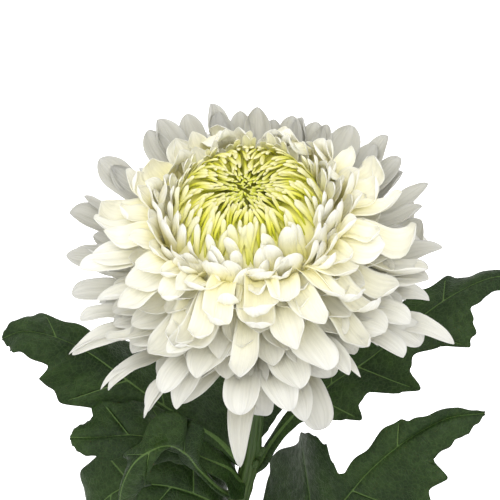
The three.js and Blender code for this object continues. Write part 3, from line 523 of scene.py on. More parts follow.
def bloom_matrix(bloom):
    """The bloom's own frame, nodding on its stem."""
    up = Vector((-math.sin(bloom.nod_left), -math.sin(bloom.nod_forward), 1)).normalized()
    turn = Vector((0, 0, 1)).rotation_difference(up)
    return Matrix.Translation(Vector(CALYX) * MM) @ turn.to_matrix().to_4x4()


# Materials.

UNDERSIDE_GREEN = (0.05, 0.08, 0.045)    # towards which a leaf's underside pales
RIB_GREEN = (0.1, 0.17, 0.045)           # along the stem's fine ribs


class Graph:
    """Short calls for adding nodes to one node tree."""

    def __init__(self, tree):
        self.tree = tree

    def put(self, socket, value):
        """Links a node's output to the socket, or sets its value."""
        if isinstance(value, bpy.types.NodeSocket):
            self.tree.links.new(value, socket)
        elif isinstance(value, (tuple, list)) and socket.type == 'RGBA':
            socket.default_value = (*value[:3], 1)
        elif value is not None:
            socket.default_value = value

    def node(self, kind, inputs=(), out=0, **settings):
        """A new node's output, or the node itself where out is None."""
        n = self.tree.nodes.new(kind)
        for key, value in settings.items():
            setattr(n, key, value)
        for key, value in dict(inputs).items():
            self.put(n.inputs[key], value)
        return n.outputs[out] if out is not None else n

    def attribute(self, name):
        return self.node('ShaderNodeAttribute', out='Fac', attribute_name=name)

    def maths(self, kind, a, b=0.0):
        return self.node('ShaderNodeMath', {0: a, 1: b}, operation=kind)

    def spread(self, value, a, b, lo=0.0, hi=1.0):
        """From lo where the value is a to hi where it is b, eased at both ends."""
        return self.node('ShaderNodeMapRange', {0: value, 1: a, 2: b, 3: lo, 4: hi},
                         interpolation_type='SMOOTHSTEP')

    def mix(self, share, a, b, kind='MIX'):
        return self.node('ShaderNodeMix', {0: share, 6: a, 7: b}, out=2, data_type='RGBA', blend_type=kind)

    def ramp(self, share, stops):
        """Colours by share, from (place, colour) stops."""
        n = self.node('ShaderNodeValToRGB', {0: share}, out=None)
        keys = n.color_ramp.elements
        while len(keys) > 1:
            keys.remove(keys[-1])
        for i, (at, colour) in enumerate(stops):
            key = keys[0] if i == 0 else keys.new(at)
            key.position = at
            key.color = (*colour, 1)
        return n.outputs[0]


def new_material(name, **constants):
    """A material with its graph and its shader, which gets the constants on its own sockets."""
    m = bpy.data.materials.new(name)
    m.use_nodes = True
    shader = m.node_tree.nodes['Principled BSDF']
    for key, value in constants.items():
        shader.inputs[key.replace('_', ' ')].default_value = value
    return m, Graph(m.node_tree), shader


def group(name, inputs, outputs, build):
    """A shader node group with named float inputs and outputs, built once."""
    if name in bpy.data.node_groups:
        return bpy.data.node_groups[name]
    g = bpy.data.node_groups.new(name, 'ShaderNodeTree')
    for key, value in inputs.items():
        kind = 'NodeSocketVector' if value is None else 'NodeSocketFloat'
        socket = g.interface.new_socket(key, in_out='INPUT', socket_type=kind)
        if value is not None:
            socket.default_value = value
    for key in outputs:
        g.interface.new_socket(key, in_out='OUTPUT', socket_type='NodeSocketFloat')
    graph = Graph(g)
    start = g.nodes.new('NodeGroupInput')
    end = g.nodes.new('NodeGroupOutput')
    for key, value in build(graph, start.outputs).items():
        graph.put(end.inputs[key], value)
    return g


def fine_ribs():
    """Fine lines that run from root to tip of a petal, floret or stem, a little broken along their way."""
    def build(g, inp):
        place = g.node('ShaderNodeCombineXYZ', {0: g.maths('MULTIPLY', inp['Across'], inp['Count']),
                                                1: g.maths('MULTIPLY', inp['Along'], 3.0), 2: inp['Chance']})
        lines = g.node('ShaderNodeTexNoise', {'Vector': place, 'Scale': 1.0, 'Detail': 2.0, 'Roughness': 0.5})
        return {'Height': g.spread(lines, 0.3, 0.7)}
    return group("fine ribs", {'Along': 0.0, 'Across': 0.0, 'Chance': 0.0, 'Count': 8.0}, ['Height'], build)


def mottle():
    """Soft patches in two sizes, from Object coordinates."""
    def build(g, inp):
        broad = g.node('ShaderNodeTexNoise', {'Vector': inp['Place'], 'Scale': inp['Scale'], 'Detail': 2.0})
        finer = g.maths('MULTIPLY', inp['Scale'], 7.0)
        fine = g.node('ShaderNodeTexNoise', {'Vector': inp['Place'], 'Scale': finer, 'Detail': 3.0})
        return {'Broad': g.spread(broad, 0.3, 0.7), 'Fine': g.spread(fine, 0.3, 0.7)}
    return group("mottle", {'Place': None, 'Scale': 60.0}, ['Broad', 'Fine'], build)


def use(g, tree, inputs, out):
    """Places a node group and gives its named output."""
    n = g.node('ShaderNodeGroup', out=None)
    n.node_tree = tree
    for key, value in inputs.items():
        g.put(n.inputs[key], value)
    return n.outputs[out]


def petal_material(bloom, heart):
    """White petals that turn cream down in the bloom, or the heart's yellow-green florets."""
    m, g, shader = new_material("heart florets" if heart else "white petals", Roughness=0.5,
                                Subsurface_Weight=0.25, Subsurface_Radius=(1.0, 0.95, 0.75),
                                Subsurface_Scale=0.002, Specular_IOR_Level=0.35)
    along, across, age, ray, chance = [g.attribute(k) for k in ("along", "across", "place", "ray", "chance")]
    white, cream, green = tuple(bloom.white), tuple(bloom.cream), tuple(bloom.heart)

    def tone(a, b, t, k=1.0):
        return tuple(lerp(x, y, t) * k for x, y in zip(a, b))

    # Florets at the eye, round it and in the ring, then the inner and the outer spreading petals. The florets
    # at the eye and round it keep their own green, but it darkens towards their roots, nearly to black at the
    # eye: painted shade in the gaps between them.
    deep = (green[0] * 0.93, green[1], green[2] * 0.55)
    eye = g.ramp(along, [(0.4, tone(deep, white, 0, 0.1)), (0.6, tone(deep, white, 0, 0.38)),
                         (0.82, tone(deep, cream, 0.04, 0.95)), (1, tone(green, cream, 0.55))])
    mid = g.ramp(along, [(0.3, tone(deep, cream, 0, 0.75)), (0.55, tone(green, cream, 0, 0.98)),
                         (0.75, tone(green, cream, 0.35)), (0.9, tone(green, cream, 0.7)),
                         (1, tone(cream, white, 0.1))])
    ring = g.ramp(along, [(0.2, tone(green, cream, 0.4)), (0.5, tone(green, cream, 0.8)),
                          (0.64, tone(cream, white, 0.15)), (0.82, tone(cream, white, 0.75)), (1, white)])
    inner = g.ramp(along, [(0.2, tone(green, cream, 0.3)), (0.5, tone(green, cream, 0.7)),
                           (0.68, tone(cream, white, 0.15)), (0.84, tone(cream, white, 0.7)), (1, white)])
    outer = g.ramp(along, [(0, cream), (0.4, tone(cream, white, 0.35)), (0.7, tone(cream, white, 0.85)),
                           (1, white)])
    bun = g.mix(g.spread(age, 2.5, 9), eye, mid)
    bun = g.mix(g.spread(age, 15, 27), bun, ring)
    colour = g.mix(ray, bun, g.mix(g.spread(age, 14, 60), inner, outer))
    edge = g.spread(g.maths('ABSOLUTE', across), 0.72, 1.0)
    colour = g.mix(g.maths('MULTIPLY', edge, g.spread(age, 16, 28, 0.1, 0.6)), colour, white)
    ribs = use(g, fine_ribs(), {'Along': along, 'Across': across, 'Chance': g.maths('MULTIPLY', chance, 40.0),
                                'Count': 7.0}, 'Height')
    # Painted shade: the petals darken a little along the low lines of their fine ribs, grow greyer towards
    # the outer spreading petals, and greyer still on the outermost ones, most on the outline petals at the
    # back and the sides.
    shade = g.spread(ribs, 0.0, 1.0, 0.93, 1.0)
    shade = g.maths('MULTIPLY', shade, g.spread(g.maths('MULTIPLY', age, ray), 22.0, 54.0, 1.0, 0.77))
    shade = g.maths('MULTIPLY', shade, g.spread(age, 60.0, 90.0, 1.0, 0.68))
    shade = g.node('ShaderNodeCombineColor', {0: shade, 1: shade, 2: shade})
    colour = g.mix(1.0, colour, shade, 'MULTIPLY')
    g.put(shader.inputs['Base Color'], colour)
    bump = g.node('ShaderNodeBump', {'Strength': 0.35, 'Distance': 0.0004, 'Height': ribs})
    g.put(shader.inputs['Normal'], bump)
    return m


def leaf_material(leaf):
    """Dark green blades with lighter veins, duller and paler underneath."""
    m, g, shader = new_material("leaf", Specular_IOR_Level=0.22, Subsurface_Weight=0.05,
                                Subsurface_Scale=0.001)
    rib, under = g.attribute("rib"), g.attribute("under")
    place = g.node('ShaderNodeTexCoord', out='Object')
    patches = {'Place': place, 'Scale': 55.0}
    broad = use(g, mottle(), patches, 'Broad')
    fine = use(g, mottle(), patches, 'Fine')
    net = g.node('ShaderNodeTexVoronoi', {'Vector': place, 'Scale': 620.0}, feature='DISTANCE_TO_EDGE')
    net = g.spread(net, 0.0, 0.14, 1.0, 0.0)
    vein = g.spread(rib, -0.05, 0.25, 1.0, 0.0)
    green = tuple(leaf.green)
    blade = g.mix(broad, green, tuple(c * k for c, k in zip(green, (2.6, 2.1, 2.2))))
    blade = g.mix(g.maths('MULTIPLY', fine, 0.5), blade, tuple(c * 0.7 for c in green))
    blade = g.mix(g.maths('MULTIPLY', net, 0.12), blade, tuple(leaf.vein))
    blade = g.mix(g.maths('MULTIPLY', under, 0.35), blade, UNDERSIDE_GREEN)
    colour = g.mix(g.maths('MULTIPLY', vein, 0.85), blade, tuple(leaf.vein))
    g.put(shader.inputs['Base Color'], colour)
    g.put(shader.inputs['Roughness'], g.spread(fine, 0.0, 1.0, 0.42, 0.6))
    height = g.maths('SUBTRACT', fine, g.maths('MULTIPLY', net, 0.8))
    bump = g.node('ShaderNodeBump', {'Strength': 0.5, 'Distance': 0.0003, 'Height': height})
    g.put(shader.inputs['Normal'], bump)
    return m


def stem_material(stem):
    """Green, with painted shade down in its grooves, and paler along its fine ribs."""
    m, g, shader = new_material("stem", Specular_IOR_Level=0.4, Subsurface_Weight=0.08,
                                Subsurface_Scale=0.001)
    place = g.node('ShaderNodeTexCoord', out='Object')
    broad = use(g, mottle(), {'Place': place, 'Scale': 45.0}, 'Broad')
    ribs = use(g, fine_ribs(), {'Along': g.attribute("along"), 'Across': g.attribute("across"),
                                'Count': 24.0}, 'Height')
    groove = g.attribute("rib")
    green = tuple(stem.green)
    colour = g.mix(broad, green, tuple(c * k for c, k in zip(green, (1.5, 1.25, 1.3))))
    # Painted shade: darker down in the stem's grooves.
    colour = g.mix(g.maths('MULTIPLY', groove, 0.5), colour, tuple(c * 0.5 for c in green))
    colour = g.mix(g.maths('MULTIPLY', ribs, 0.25), colour, RIB_GREEN)
    g.put(shader.inputs['Base Color'], colour)
    g.put(shader.inputs['Roughness'], g.spread(ribs, 0.0, 1.0, 0.45, 0.6))
    bump = g.node('ShaderNodeBump', {'Strength': 0.4, 'Distance': 0.0003, 'Height': ribs})
    g.put(shader.inputs['Normal'], bump)
    return m


# The stem and its calyx.

STEM = [(0.6, 0, -6), (-0.2, 0, -14), (-1.3, 0, -31.8), (-3.5, 0, -66.8), (-7.7, 0, -93), (-12, 0.2, -124),
        (-17.5, 0.6, -180), (-23.5, 1.5, -230), (-29, 2.5, STEM_FOOT - CALYX[2])]
STEM_LINE = Line([np.array(p) + np.array(CALYX) for p in STEM])
STEM_TOP = CALYX[2] - 5.5
RIBS, RIB_DEPTH = 9, 0.3
SWELL, SWELL_HEIGHT = 0.42, 3.2      # where a leaf leaves the stem
FLARE = 1.6                          # under the calyx


def stem_at(z):
    """The middle of the stem at a height."""
    order = np.argsort(STEM_LINE.P[:, 2])
    Z = STEM_LINE.P[order, 2]
    return np.array([np.interp(z, Z, STEM_LINE.P[order, 0]), np.interp(z, Z, STEM_LINE.P[order, 1]), z])


def stem_bar(radius, heights):
    """The ribbed bar of the stem, a little thicker where each leaf leaves it."""
    rings, sides = 260, 72
    V, along, across, groove = [], [], [], []
    for i in range(rings + 1):
        z = lerp(STEM_TOP, STEM_FOOT, i / rings)
        c = stem_at(z)
        swell = sum(SWELL * math.exp(-((z - h) / SWELL_HEIGHT) ** 2) for h in heights)
        flare = FLARE * float(smooth(-13, -5, z - CALYX[2]))
        for j in range(sides):
            a = 2 * math.pi * j / sides + 0.0008 * z
            rib = 0.5 + 0.5 * math.cos(a * RIBS)
            r = radius * (1 + 0.012 * math.sin(z / 9 + 2 * a)) + swell + flare - RIB_DEPTH * (1 - rib) ** 2
            V.append((c[0] + r * math.cos(a), c[1] + r * math.sin(a), z))
            along.append(i / rings * 12)
            across.append(2 * abs(j / sides - 0.5))
            groove.append((1 - rib) ** 2)
    i = np.arange((rings + 1) * sides).reshape(rings + 1, sides)
    ahead = np.roll(i, -1, 1)
    F = np.stack([i[:-1], ahead[:-1], ahead[1:], i[1:]], -1).reshape(-1, 4)[:, ::-1].tolist()
    F += [i[0].tolist(), i[-1][::-1].tolist()]
    return V, F, dict(along=along, across=across, rib=groove)


def scale_row(count, turn, root, tip, th0, th1, w):
    """One ring of small green scales, as round a bud or the calyx."""
    return [dict(ray=0, d=0, az=(i + turn) * 2 * math.pi / count, root=root, tip=tip, th0=math.radians(th0),
                 th1=math.radians(th1), curl=0.4, stay=0.0, w=w, cup=0.6, point=0.7, twist=0.0, side=0.0,
                 chance=i / count, roll=0.0) for i in range(count)]


def scales_piece(name, rows, grid, thickness, matrix, material):
    """Rows of green scales as one piece of the stem."""
    V, F, values = petal_shells(rows, grid, thickness)
    values["rib"] = np.zeros(len(V))
    finish_piece(piece(name, V, F, values, matrix), material, "stem", "stem")


# The leaves. Each has a line from the stem to the tip, relative to the calyx, and two margins: pairs of
# a share of the line and a half width. up leans its face at the stem and at the tip, lean is the angle of
# its side veins there, bank tilts each half, and wave, waves and phase ripple it.

STALK = 1.15                         # radius of the round stalk
VEIN_DEPTH, VEIN_WIDTH = 0.55, 0.75
PUFF, DROOP = 1.1, 0.05              # swelling between the veins, and sag of the blade
KEEL, SIDE_RIB = 1.0, 0.22           # ribs that stand out underneath, at the middle and at the side veins
LEAVES = {
    "leaf_1": dict(
        line=[(-5.4, -1, -72), (-17.3, -1, -59.7), (-30.2, 1, -50), (-41.3, 4, -43.2), (-52.2, 7, -35),
              (-64.9, 10, -25.9), (-77.6, 12, -20.4), (-87.9, 13, -19.3), (-95.5, 13, -22.7)],
        up=[(0.3, -0.3, 1), (0.05, -0.2, 1)], lean=(10, 36), wave=1.6, waves=3.2, phase=0.4,
        near=[(0, 1.6), (0.1, 1.8), (0.17, 3), (0.25, 8), (0.33, 15), (0.39, 14), (0.45, 17), (0.53, 24),
              (0.6, 23), (0.67, 20), (0.73, 13.5), (0.79, 13), (0.87, 13), (0.93, 9), (0.97, 5), (1, 0.6)],
        far=[(0, 1.6), (0.03, 4), (0.08, 21), (0.14, 30), (0.24, 25), (0.3, 18), (0.38, 22), (0.45, 20),
             (0.54, 19), (0.6, 12), (0.68, 9), (0.74, 9.5), (0.81, 11), (0.88, 8.2), (0.94, 5),
             (0.98, 2.5), (1, 0.6)],
        bank_near=[(0, 0), (0.25, -38), (0.6, -38), (0.75, -8), (1, 0)], bank_far=[(0, 0), (0.5, 0), (1, 8)]),
    "leaf_2": dict(
        line=[(-8, -3, -79.5), (-12.5, -6, -70.9), (-21.7, -9, -61.9), (-33.6, -12, -51.5),
              (-46.3, -13, -47), (-59.1, -13, -48), (-70.2, -12, -49)],
        up=[(0.5, -0.4, 1), (0, -0.35, 1)], lean=(0, 36), wave=1.4, waves=2.6, phase=2.2,
        near=[(0, 1.6), (0.03, 7), (0.08, 8.5), (0.14, 7.5), (0.2, 6), (0.34, 5), (0.44, 8), (0.52, 14),
              (0.6, 15), (0.68, 11), (0.76, 10), (0.86, 8), (0.93, 6), (0.97, 4), (1, 0.6)],
        far=[(0, 1.6), (0.05, 2), (0.12, 9), (0.2, 10), (0.28, 9), (0.36, 10), (0.44, 14), (0.52, 18),
             (0.6, 16), (0.66, 15), (0.73, 17), (0.78, 15), (0.82, 10.5), (0.87, 9), (0.93, 6), (0.97, 4),
             (1, 0.6)],
        bank_near=[(0, 0), (0.4, -12), (1, -6)], bank_far=[(0, 0), (0.35, -4), (0.6, 4), (1, 0)]),
    "leaf_3": dict(
        line=[(-10.8, -4, -99.8), (-21.2, -8, -84.5), (-36, -10, -75.7), (-48.9, -12, -73.7),
              (-58, -13, -79), (-63.9, -13, -92), (-67.8, -12, -106.8)],
        up=[(0.4, -0.5, 1), (-0.9, -0.7, 0.5)], lean=(0, 30), wave=1.5, waves=2.8, phase=4,
        near=[(0, 1.6), (0.12, 2), (0.22, 8), (0.32, 16), (0.4, 18), (0.48, 12), (0.56, 16), (0.66, 19),
              (0.74, 12), (0.82, 11), (0.9, 8), (0.96, 5), (1, 0.6)],
        far=[(0, 1.6), (0.02, 12), (0.05, 15), (0.1, 16), (0.2, 17), (0.3, 18), (0.4, 16), (0.48, 13),
             (0.56, 17), (0.64, 17), (0.72, 13), (0.8, 8), (0.9, 6), (0.96, 4), (1, 0.6)],
        bank_near=[(0, 0), (1, 0)], bank_far=[(0, 0), (1, 0)]),
    "leaf_4": dict(
        line=[(-9.9, -5, -87), (-14.8, -9, -79.4), (-22.6, -17, -61), (-28, -24, -46), (-35, -30, -36.5),
              (-44, -35, -38), (-50, -36, -50), (-52.2, -35, -66)],
        up=[(0.3, -0.4, 1), (-0.5, -0.6, 0.7)], lean=(0, 30), wave=1, waves=3, phase=1,
        near=[(0, 1.5), (0.34, 1.8), (0.42, 5), (0.48, 9), (0.54, 10), (0.6, 7), (0.68, 11), (0.76, 11),
              (0.82, 7), (0.9, 7), (0.96, 4), (1, 0.6)],
        far=[(0, 1.5), (0.3, 1.8), (0.38, 6), (0.44, 11), (0.5, 12), (0.56, 12), (0.62, 8), (0.7, 11),
             (0.78, 10), (0.84, 7), (0.92, 6), (0.97, 4), (1, 0.6)],
        bank_near=[(0, 0), (0.4, -40), (1, -58)], bank_far=[(0, 0), (0.3, -12), (0.45, -30), (1, -55)]),
    "leaf_5": dict(
        line=[(-2.3, 1, -76), (4.1, 4, -67.5), (13, 8, -55.8), (25.7, 13, -45.7), (40.7, 19, -37.6),
              (57.6, 27, -26.2), (72.7, 34, -18.6), (86, 39, -15.1), (97, 41, -15.3)],
        up=[(-0.6, -0.5, 1), (-0.2, -0.45, 1)], lean=(10, 34), wave=1.6, waves=3, phase=5.2,
        near=[(0, 1.8), (0.1, 2.6), (0.2, 4), (0.28, 8), (0.36, 14), (0.42, 13), (0.5, 12), (0.56, 13),
              (0.62, 12), (0.7, 10), (0.76, 12), (0.8, 8.5), (0.86, 6.5), (0.93, 4.5), (0.97, 3), (1, 0.6)],
        far=[(0, 1.8), (0.05, 3), (0.14, 3), (0.2, 4), (0.24, 6), (0.28, 15), (0.3, 20), (0.34, 14),
             (0.38, 12), (0.42, 22), (0.45, 26), (0.5, 15), (0.55, 12.5), (0.6, 15), (0.63, 24.5),
             (0.68, 21), (0.73, 15), (0.78, 10.4), (0.84, 8), (0.92, 6), (0.97, 3.5), (1, 0.6)],
        bank_near=[(0, 0), (0.6, 4), (0.8, -20), (1, -24)], bank_far=[(0, 0), (0.5, -6), (1, -6)]),
    "leaf_6": dict(
        line=[(-5.8, -3, -110), (5, -10, -106), (16.7, -16, -97), (27.4, -20, -78.5), (39.6, -21, -57),
              (52.8, -21, -41.6), (66.9, -19, -33.2), (80.3, -17, -32.6)],
        up=[(-0.3, -0.3, 1), (-0.55, -0.75, 0.6)], lean=(-12, 28), lean_near=(-20, 44),
        wave=1.2, waves=2.8, phase=3.1,
        near=[(0, 1.8), (0.06, 2.2), (0.1, 27), (0.14, 36), (0.19, 38.5), (0.25, 37), (0.3, 38), (0.34, 35.5),
              (0.38, 33), (0.42, 27), (0.46, 16), (0.49, 10), (0.52, 8.3), (0.6, 8.7), (0.68, 10.8),
              (0.73, 11), (0.77, 6.8), (0.84, 5), (0.91, 3.5), (0.97, 1.6), (1, 0.6)],
        far=[(0, 1.8), (0.12, 2.2), (0.22, 7), (0.3, 16), (0.38, 22.5), (0.46, 27), (0.52, 31), (0.58, 27),
             (0.65, 23), (0.71, 22), (0.75, 13), (0.8, 10.6), (0.87, 9.5), (0.93, 7), (0.97, 4), (1, 0.6)],
        bank_near=[(0, 0), (0.5, 16), (1, 20)], bank_far=[(0, 0), (0.5, -8), (1, -10)]),
    "leaf_7": dict(
        line=[(-2.7, 3, -64.5), (0.3, 12, -60), (4.1, 20, -55.5), (8.4, 28, -51.4), (13.4, 36, -45.7),
              (18.8, 42, -40.7), (24, 48, -38.5)],
        up=[(0, -0.5, 1), (0, -0.3, 1)], lean=(10, 32), wave=1.3, waves=2.6, phase=0.9,
        near=[(0, 1.6), (0.04, 3), (0.1, 7), (0.2, 13), (0.3, 14), (0.4, 14), (0.5, 9), (0.6, 14), (0.7, 13),
              (0.78, 8), (0.88, 8), (0.95, 5), (1, 0.6)],
        far=[(0, 1.6), (0.06, 2), (0.12, 4), (0.2, 5.5), (0.28, 7), (0.36, 11), (0.44, 14), (0.52, 9),
             (0.62, 13), (0.7, 12), (0.78, 8), (0.88, 8), (0.95, 5), (1, 0.6)],
        bank_near=[(0, 0), (1, 0)], bank_far=[(0, 0), (1, 0)]),
}


def lobe_tips(margin):
    """Where a margin's lobes end: its local maxima past the stalk, and one side vein to each."""
    out = []
    for (_, before), (x, y), (_, after) in zip(margin, margin[1:], margin[2:]):
        if x > 0.25 and y > before and y >= after and y > 6:
            out.append(x)
    return out


def leaf_shell(o, blade, stem_radius):
    """A lobed blade on its stalk, with sunk veins above, ribs below and swollen fields between the veins."""
    first = np.array(o["line"][0]) + CALYX
    c = stem_at(first[2])
    out = np.array(o["line"][1], float) + CALYX - c
    out[2] = 0
    out = unit(out)
    start = np.array([c[0], c[1], first[2]])
    line = Line([start + out * (stem_radius - 1.6) - (0, 0, 2.5),
                 start + out * (stem_radius + 1.6) - (0, 0, 0.2),
                 *[np.array(p) + CALYX for p in o["line"][1:]]])
    veins = {1: lobe_tips(o["near"]), -1: lobe_tips(o["far"])}
    mm = 1 / line.length
    X = set(np.round(np.linspace(0, 1, 121), 5))
    for x in veins[1] + veins[-1]:
        X.update(np.round([x - 0.9 * mm, x - 0.4 * mm, x, x + 0.4 * mm, x + 0.9 * mm], 5))
    X = np.array(sorted(x for x in X if 0 <= x <= 1))
    v = np.linspace(-1, 1, 37)
    v = np.sign(v) * np.abs(v) ** 1.35
    M, T = line.at(X), line.along(X)
    up = unit(lerp(np.array([o["up"][0]], float), np.array([o["up"][1]], float), smooth(0, 0.7, X)[:, None]))
    B = unit(np.cross(up, T))
    N = np.cross(T, B)
    stalk = 1 - smooth(0.05, 0.34, X)
    P = np.zeros((len(X), len(v), 3))
    rib = np.zeros(P.shape[:2])
    W = np.zeros(P.shape[:2])
    for j, q in enumerate(v):
        side = 1 if q > 0 else -1
        margin, bank = (o["near"], o["bank_near"]) if q > 0 else (o["far"], o["bank_far"])
        a = abs(q)
        w = eased(margin, X)
        teeth = np.minimum(0.07 * w, 0.8) * np.sin(X * line.length / 2.3 + side)
        w = w + teeth * smooth(0.3, 0.4, X) * (1 - smooth(0.95, 1, X))
        tilt = np.radians(np.interp(X, [p[0] for p in bank], [p[1] for p in bank]))
        lean = o.get("lean_near", o["lean"]) if q > 0 else o["lean"]
        lean = np.radians(lerp(*lean, smooth(0.12, 0.42, X))) * (1 - 0.6 * smooth(0.8, 1, X))
        wave = o["wave"] * np.sin(2 * math.pi * (o["waves"] * X + (0.35 if q > 0 else 0)) + o["phase"])
        wave = wave * a * a * np.minimum(1, w / 10)
        # How far each point is from the nearest vein, and its place in the field between two veins.
        lateral = np.full(X.shape, 99.0)
        between = np.zeros(X.shape)
        tips = veins[side]
        for x in tips:
            lateral = np.minimum(lateral, np.abs(X - x) * line.length * np.cos(lean))
        grid = [0.2, *tips, 1.0]
        for x0, x1 in zip(grid, grid[1:]):
            inside = (X >= x0) & (X < x1)
            between[inside] = np.sin(math.pi * (X[inside] - x0) / (x1 - x0))
        mid = a * w - lerp(0.5, 0.12, X)
        lat = lateral - (0.2 * (1 - a) + 0.03) + 1.2 * smooth(0.82, 1.0, a)
        dist = np.minimum(mid, lat)
        rib[:, j] = dist
        groove = -VEIN_DEPTH * np.exp(-(np.maximum(dist, 0) / VEIN_WIDTH) ** 2) * (1 - stalk) * (1 - 0.5 * a)
        puff = PUFF * between * np.minimum(1, w / 9) * (4 * a * (1 - a)) * (1 - stalk)
        droop = DROOP * np.minimum(a * w, 14) ** 2 / 9 * (1 - stalk)
        height = a * w * np.sin(tilt) + wave + groove + puff - droop
        P[:, j] = (M + B * (side * a * w * np.cos(lean) * np.cos(tilt))[:, None]
                   + T * (a * w * np.sin(lean))[:, None] + N * height[:, None])
        W[:, j] = a * w
    n = unit(np.cross(np.gradient(P, axis=0), np.gradient(P, axis=1)))
    flip = np.sign(np.sum(n * N[:, None], -1, keepdims=True))
    n = n * np.where(flip == 0, 1, flip)
    a = np.abs(v)[None, :]
    round_stalk = STALK * np.sqrt(np.clip(1 - (0.92 * a) ** 2, 0, 1))
    half = lerp(blade / 2 * (1 - 0.45 * a ** 4), round_stalk, stalk[:, None] * (1 - smooth(1.5, 4, W)))
    keel = lerp(KEEL, 0.15, X)[:, None] * np.exp(-W ** 2)
    keel = keel + SIDE_RIB * np.exp(-(np.maximum(rib, 0) / 0.35) ** 2)
    top = P + n * half[..., None]
    under = P - n * (half + keel * (1 - stalk[:, None]))[..., None]
    V = np.concatenate([top.reshape(-1, 3), under.reshape(-1, 3)])
    F = shell_faces(len(X) - 1, len(v) - 1)
    below = np.concatenate([np.zeros(rib.size), np.ones(rib.size)])
    below = np.clip(below - np.tile(np.repeat(stalk, len(v)), 2), 0, 1)
    bare = np.tile((rib - 0.4 * stalk[:, None]).reshape(-1), 2)
    return V, F, dict(rib=bare, under=below)


# The vase and its water.

VASE_OUTSIDE = [(0, 0.6), (24, 0.6), (28, 0), (31, 0), (33.4, 0.8), (34.6, 2.6), (36.6, 13), (38, 30),
                (37.9, 46), (36.2, 61), (32.2, 76), (26, 90), (19.4, 103), (14.6, 116), (12.4, 129),
                (12, 140), (12.6, 148), (14.3, 153.6), (15.2, 155.6), (14.8, 156.8), (13.6, 157)]
VASE_INSIDE = [(12.2, 156), (10.2, 151.4), (9, 141), (9.3, 129.6), (11.6, 117.4), (16.6, 104.8), (23.2, 91.8),
               (29.4, 77.6), (33.2, 61.4), (34.9, 46), (35, 30.4), (33.6, 14), (31.4, 9.4), (27, 8), (0, 8)]
VASE_STEP, VASE_SIDES = 1.6, 128
WATER_TINT = (0.96, 0.985, 0.98)
WATER_OVERLAP = 0.12                 # the water reaches this far into the glass


def spun(name, profile, steps):
    """A closed round body: its profile, from axis to axis, spun about Z in edit mode and cleaned."""
    deselect()
    me = bpy.data.meshes.new(name)
    edges = [(i, i + 1) for i in range(len(profile) - 1)]
    me.from_pydata([(r * MM, 0, z * MM) for r, z in profile], edges, [])
    ob = bpy.data.objects.new(name, me)
    bpy.context.scene.collection.objects.link(ob)
    ob.select_set(True)
    bpy.context.view_layer.objects.active = ob
    bpy.ops.object.mode_set(mode='EDIT')
    bpy.ops.mesh.select_all(action='SELECT')
    bpy.ops.mesh.spin(steps=steps, angle=2 * math.pi, center=(0, 0, 0), axis=(0, 0, 1))
    bpy.ops.mesh.select_all(action='SELECT')
    bpy.ops.mesh.remove_doubles(threshold=0.00001)
    bpy.ops.mesh.normals_make_consistent(inside=False)
    bpy.ops.object.mode_set(mode='OBJECT')
    bpy.ops.object.shade_smooth()
    ob.select_set(False)
    return ob


def smooth_profile(points, step):
    """The profile smoothed and read at even steps along its length, with no point below zero radius or
    height.
    """
    p = Profile(points)
    out = [p.at(s) for s in np.linspace(0, p.end, max(8, int(p.end / step)))]
    return [(max(0.0, r), max(0.0, z)) for r, z in out]


def glass_material(name, tint, ior, roughness):
    """Clear glass or water with a faint tint."""
    m, g, shader = new_material(name, Roughness=roughness, IOR=ior, Transmission_Weight=1.0)
    place = g.node('ShaderNodeTexCoord', out='Object')
    broad = use(g, mottle(), {'Place': place, 'Scale': 12.0}, 'Broad')
    g.put(shader.inputs['Base Color'], g.mix(broad, tuple(tint), tuple(c * 0.985 for c in tint)))
    return m


# The bloom's dome and calyx and the side buds, in millimetres, and the light, in metres and watts.

HEART_DOME = [(0, 1), (8, 4), (15, 8.5), (22, 15), (26.8, 24), (28.8, 32), (28.8, 40), (27.2, 46),
              (24.4, 51.8), (21, 56), (16, 57.8), (10, 57.2), (5, 56.2), (0, 55.8)]
CALYX_CUP = [(0, -10.6), (3.6, -10.4), (6, -8.6), (10, -5.6), (13, -2.6), (13.6, 0), (11, 2), (0, 3)]
# Each row of bracts: how many, turned by, root, tip, angle at root and tip, width.
CALYX_ROWS = [(11, 0, (4, -9.0), (13.8, -3.2), 12, 56, 7.4), (11, 0.5, (4, -9.6), (12.2, -5.4), 6, 50, 6.4),
              (8, 0.2, (3.4, -10.4), (9.6, -7.6), 2, 40, 5)]
BUDS = [(188, 172, 2.4), (209.5, 300, 1.9), (214, 335, 2.0)]    # height, side of the stem, size
BUD_LEAN = math.radians(28)
BRACT_THICKNESS, SCALE_THICKNESS = 0.9, 0.35
# Each light: its way from the bloom, size and power.
LIGHTS = [("key light", (-0.22, -0.5, 0.86), 1.1, 3.9), ("front light", (0.1, -0.8, 0.6), 0.9, 2.9),
          ("back light", (0.35, 0.85, 0.35), 0.8, 1.2)]
AROUND = 0.95                                                   # light from all sides
WIDEST = 30                                                     # where the bloom is widest, on its axis
FRAME, BLOOM_AT = 500, (254, 254)                               # the picture and that place in it, in pixels
SENSOR = 36                                                     # width of the camera's sensor


# Operators, one for each piece or group of like pieces.

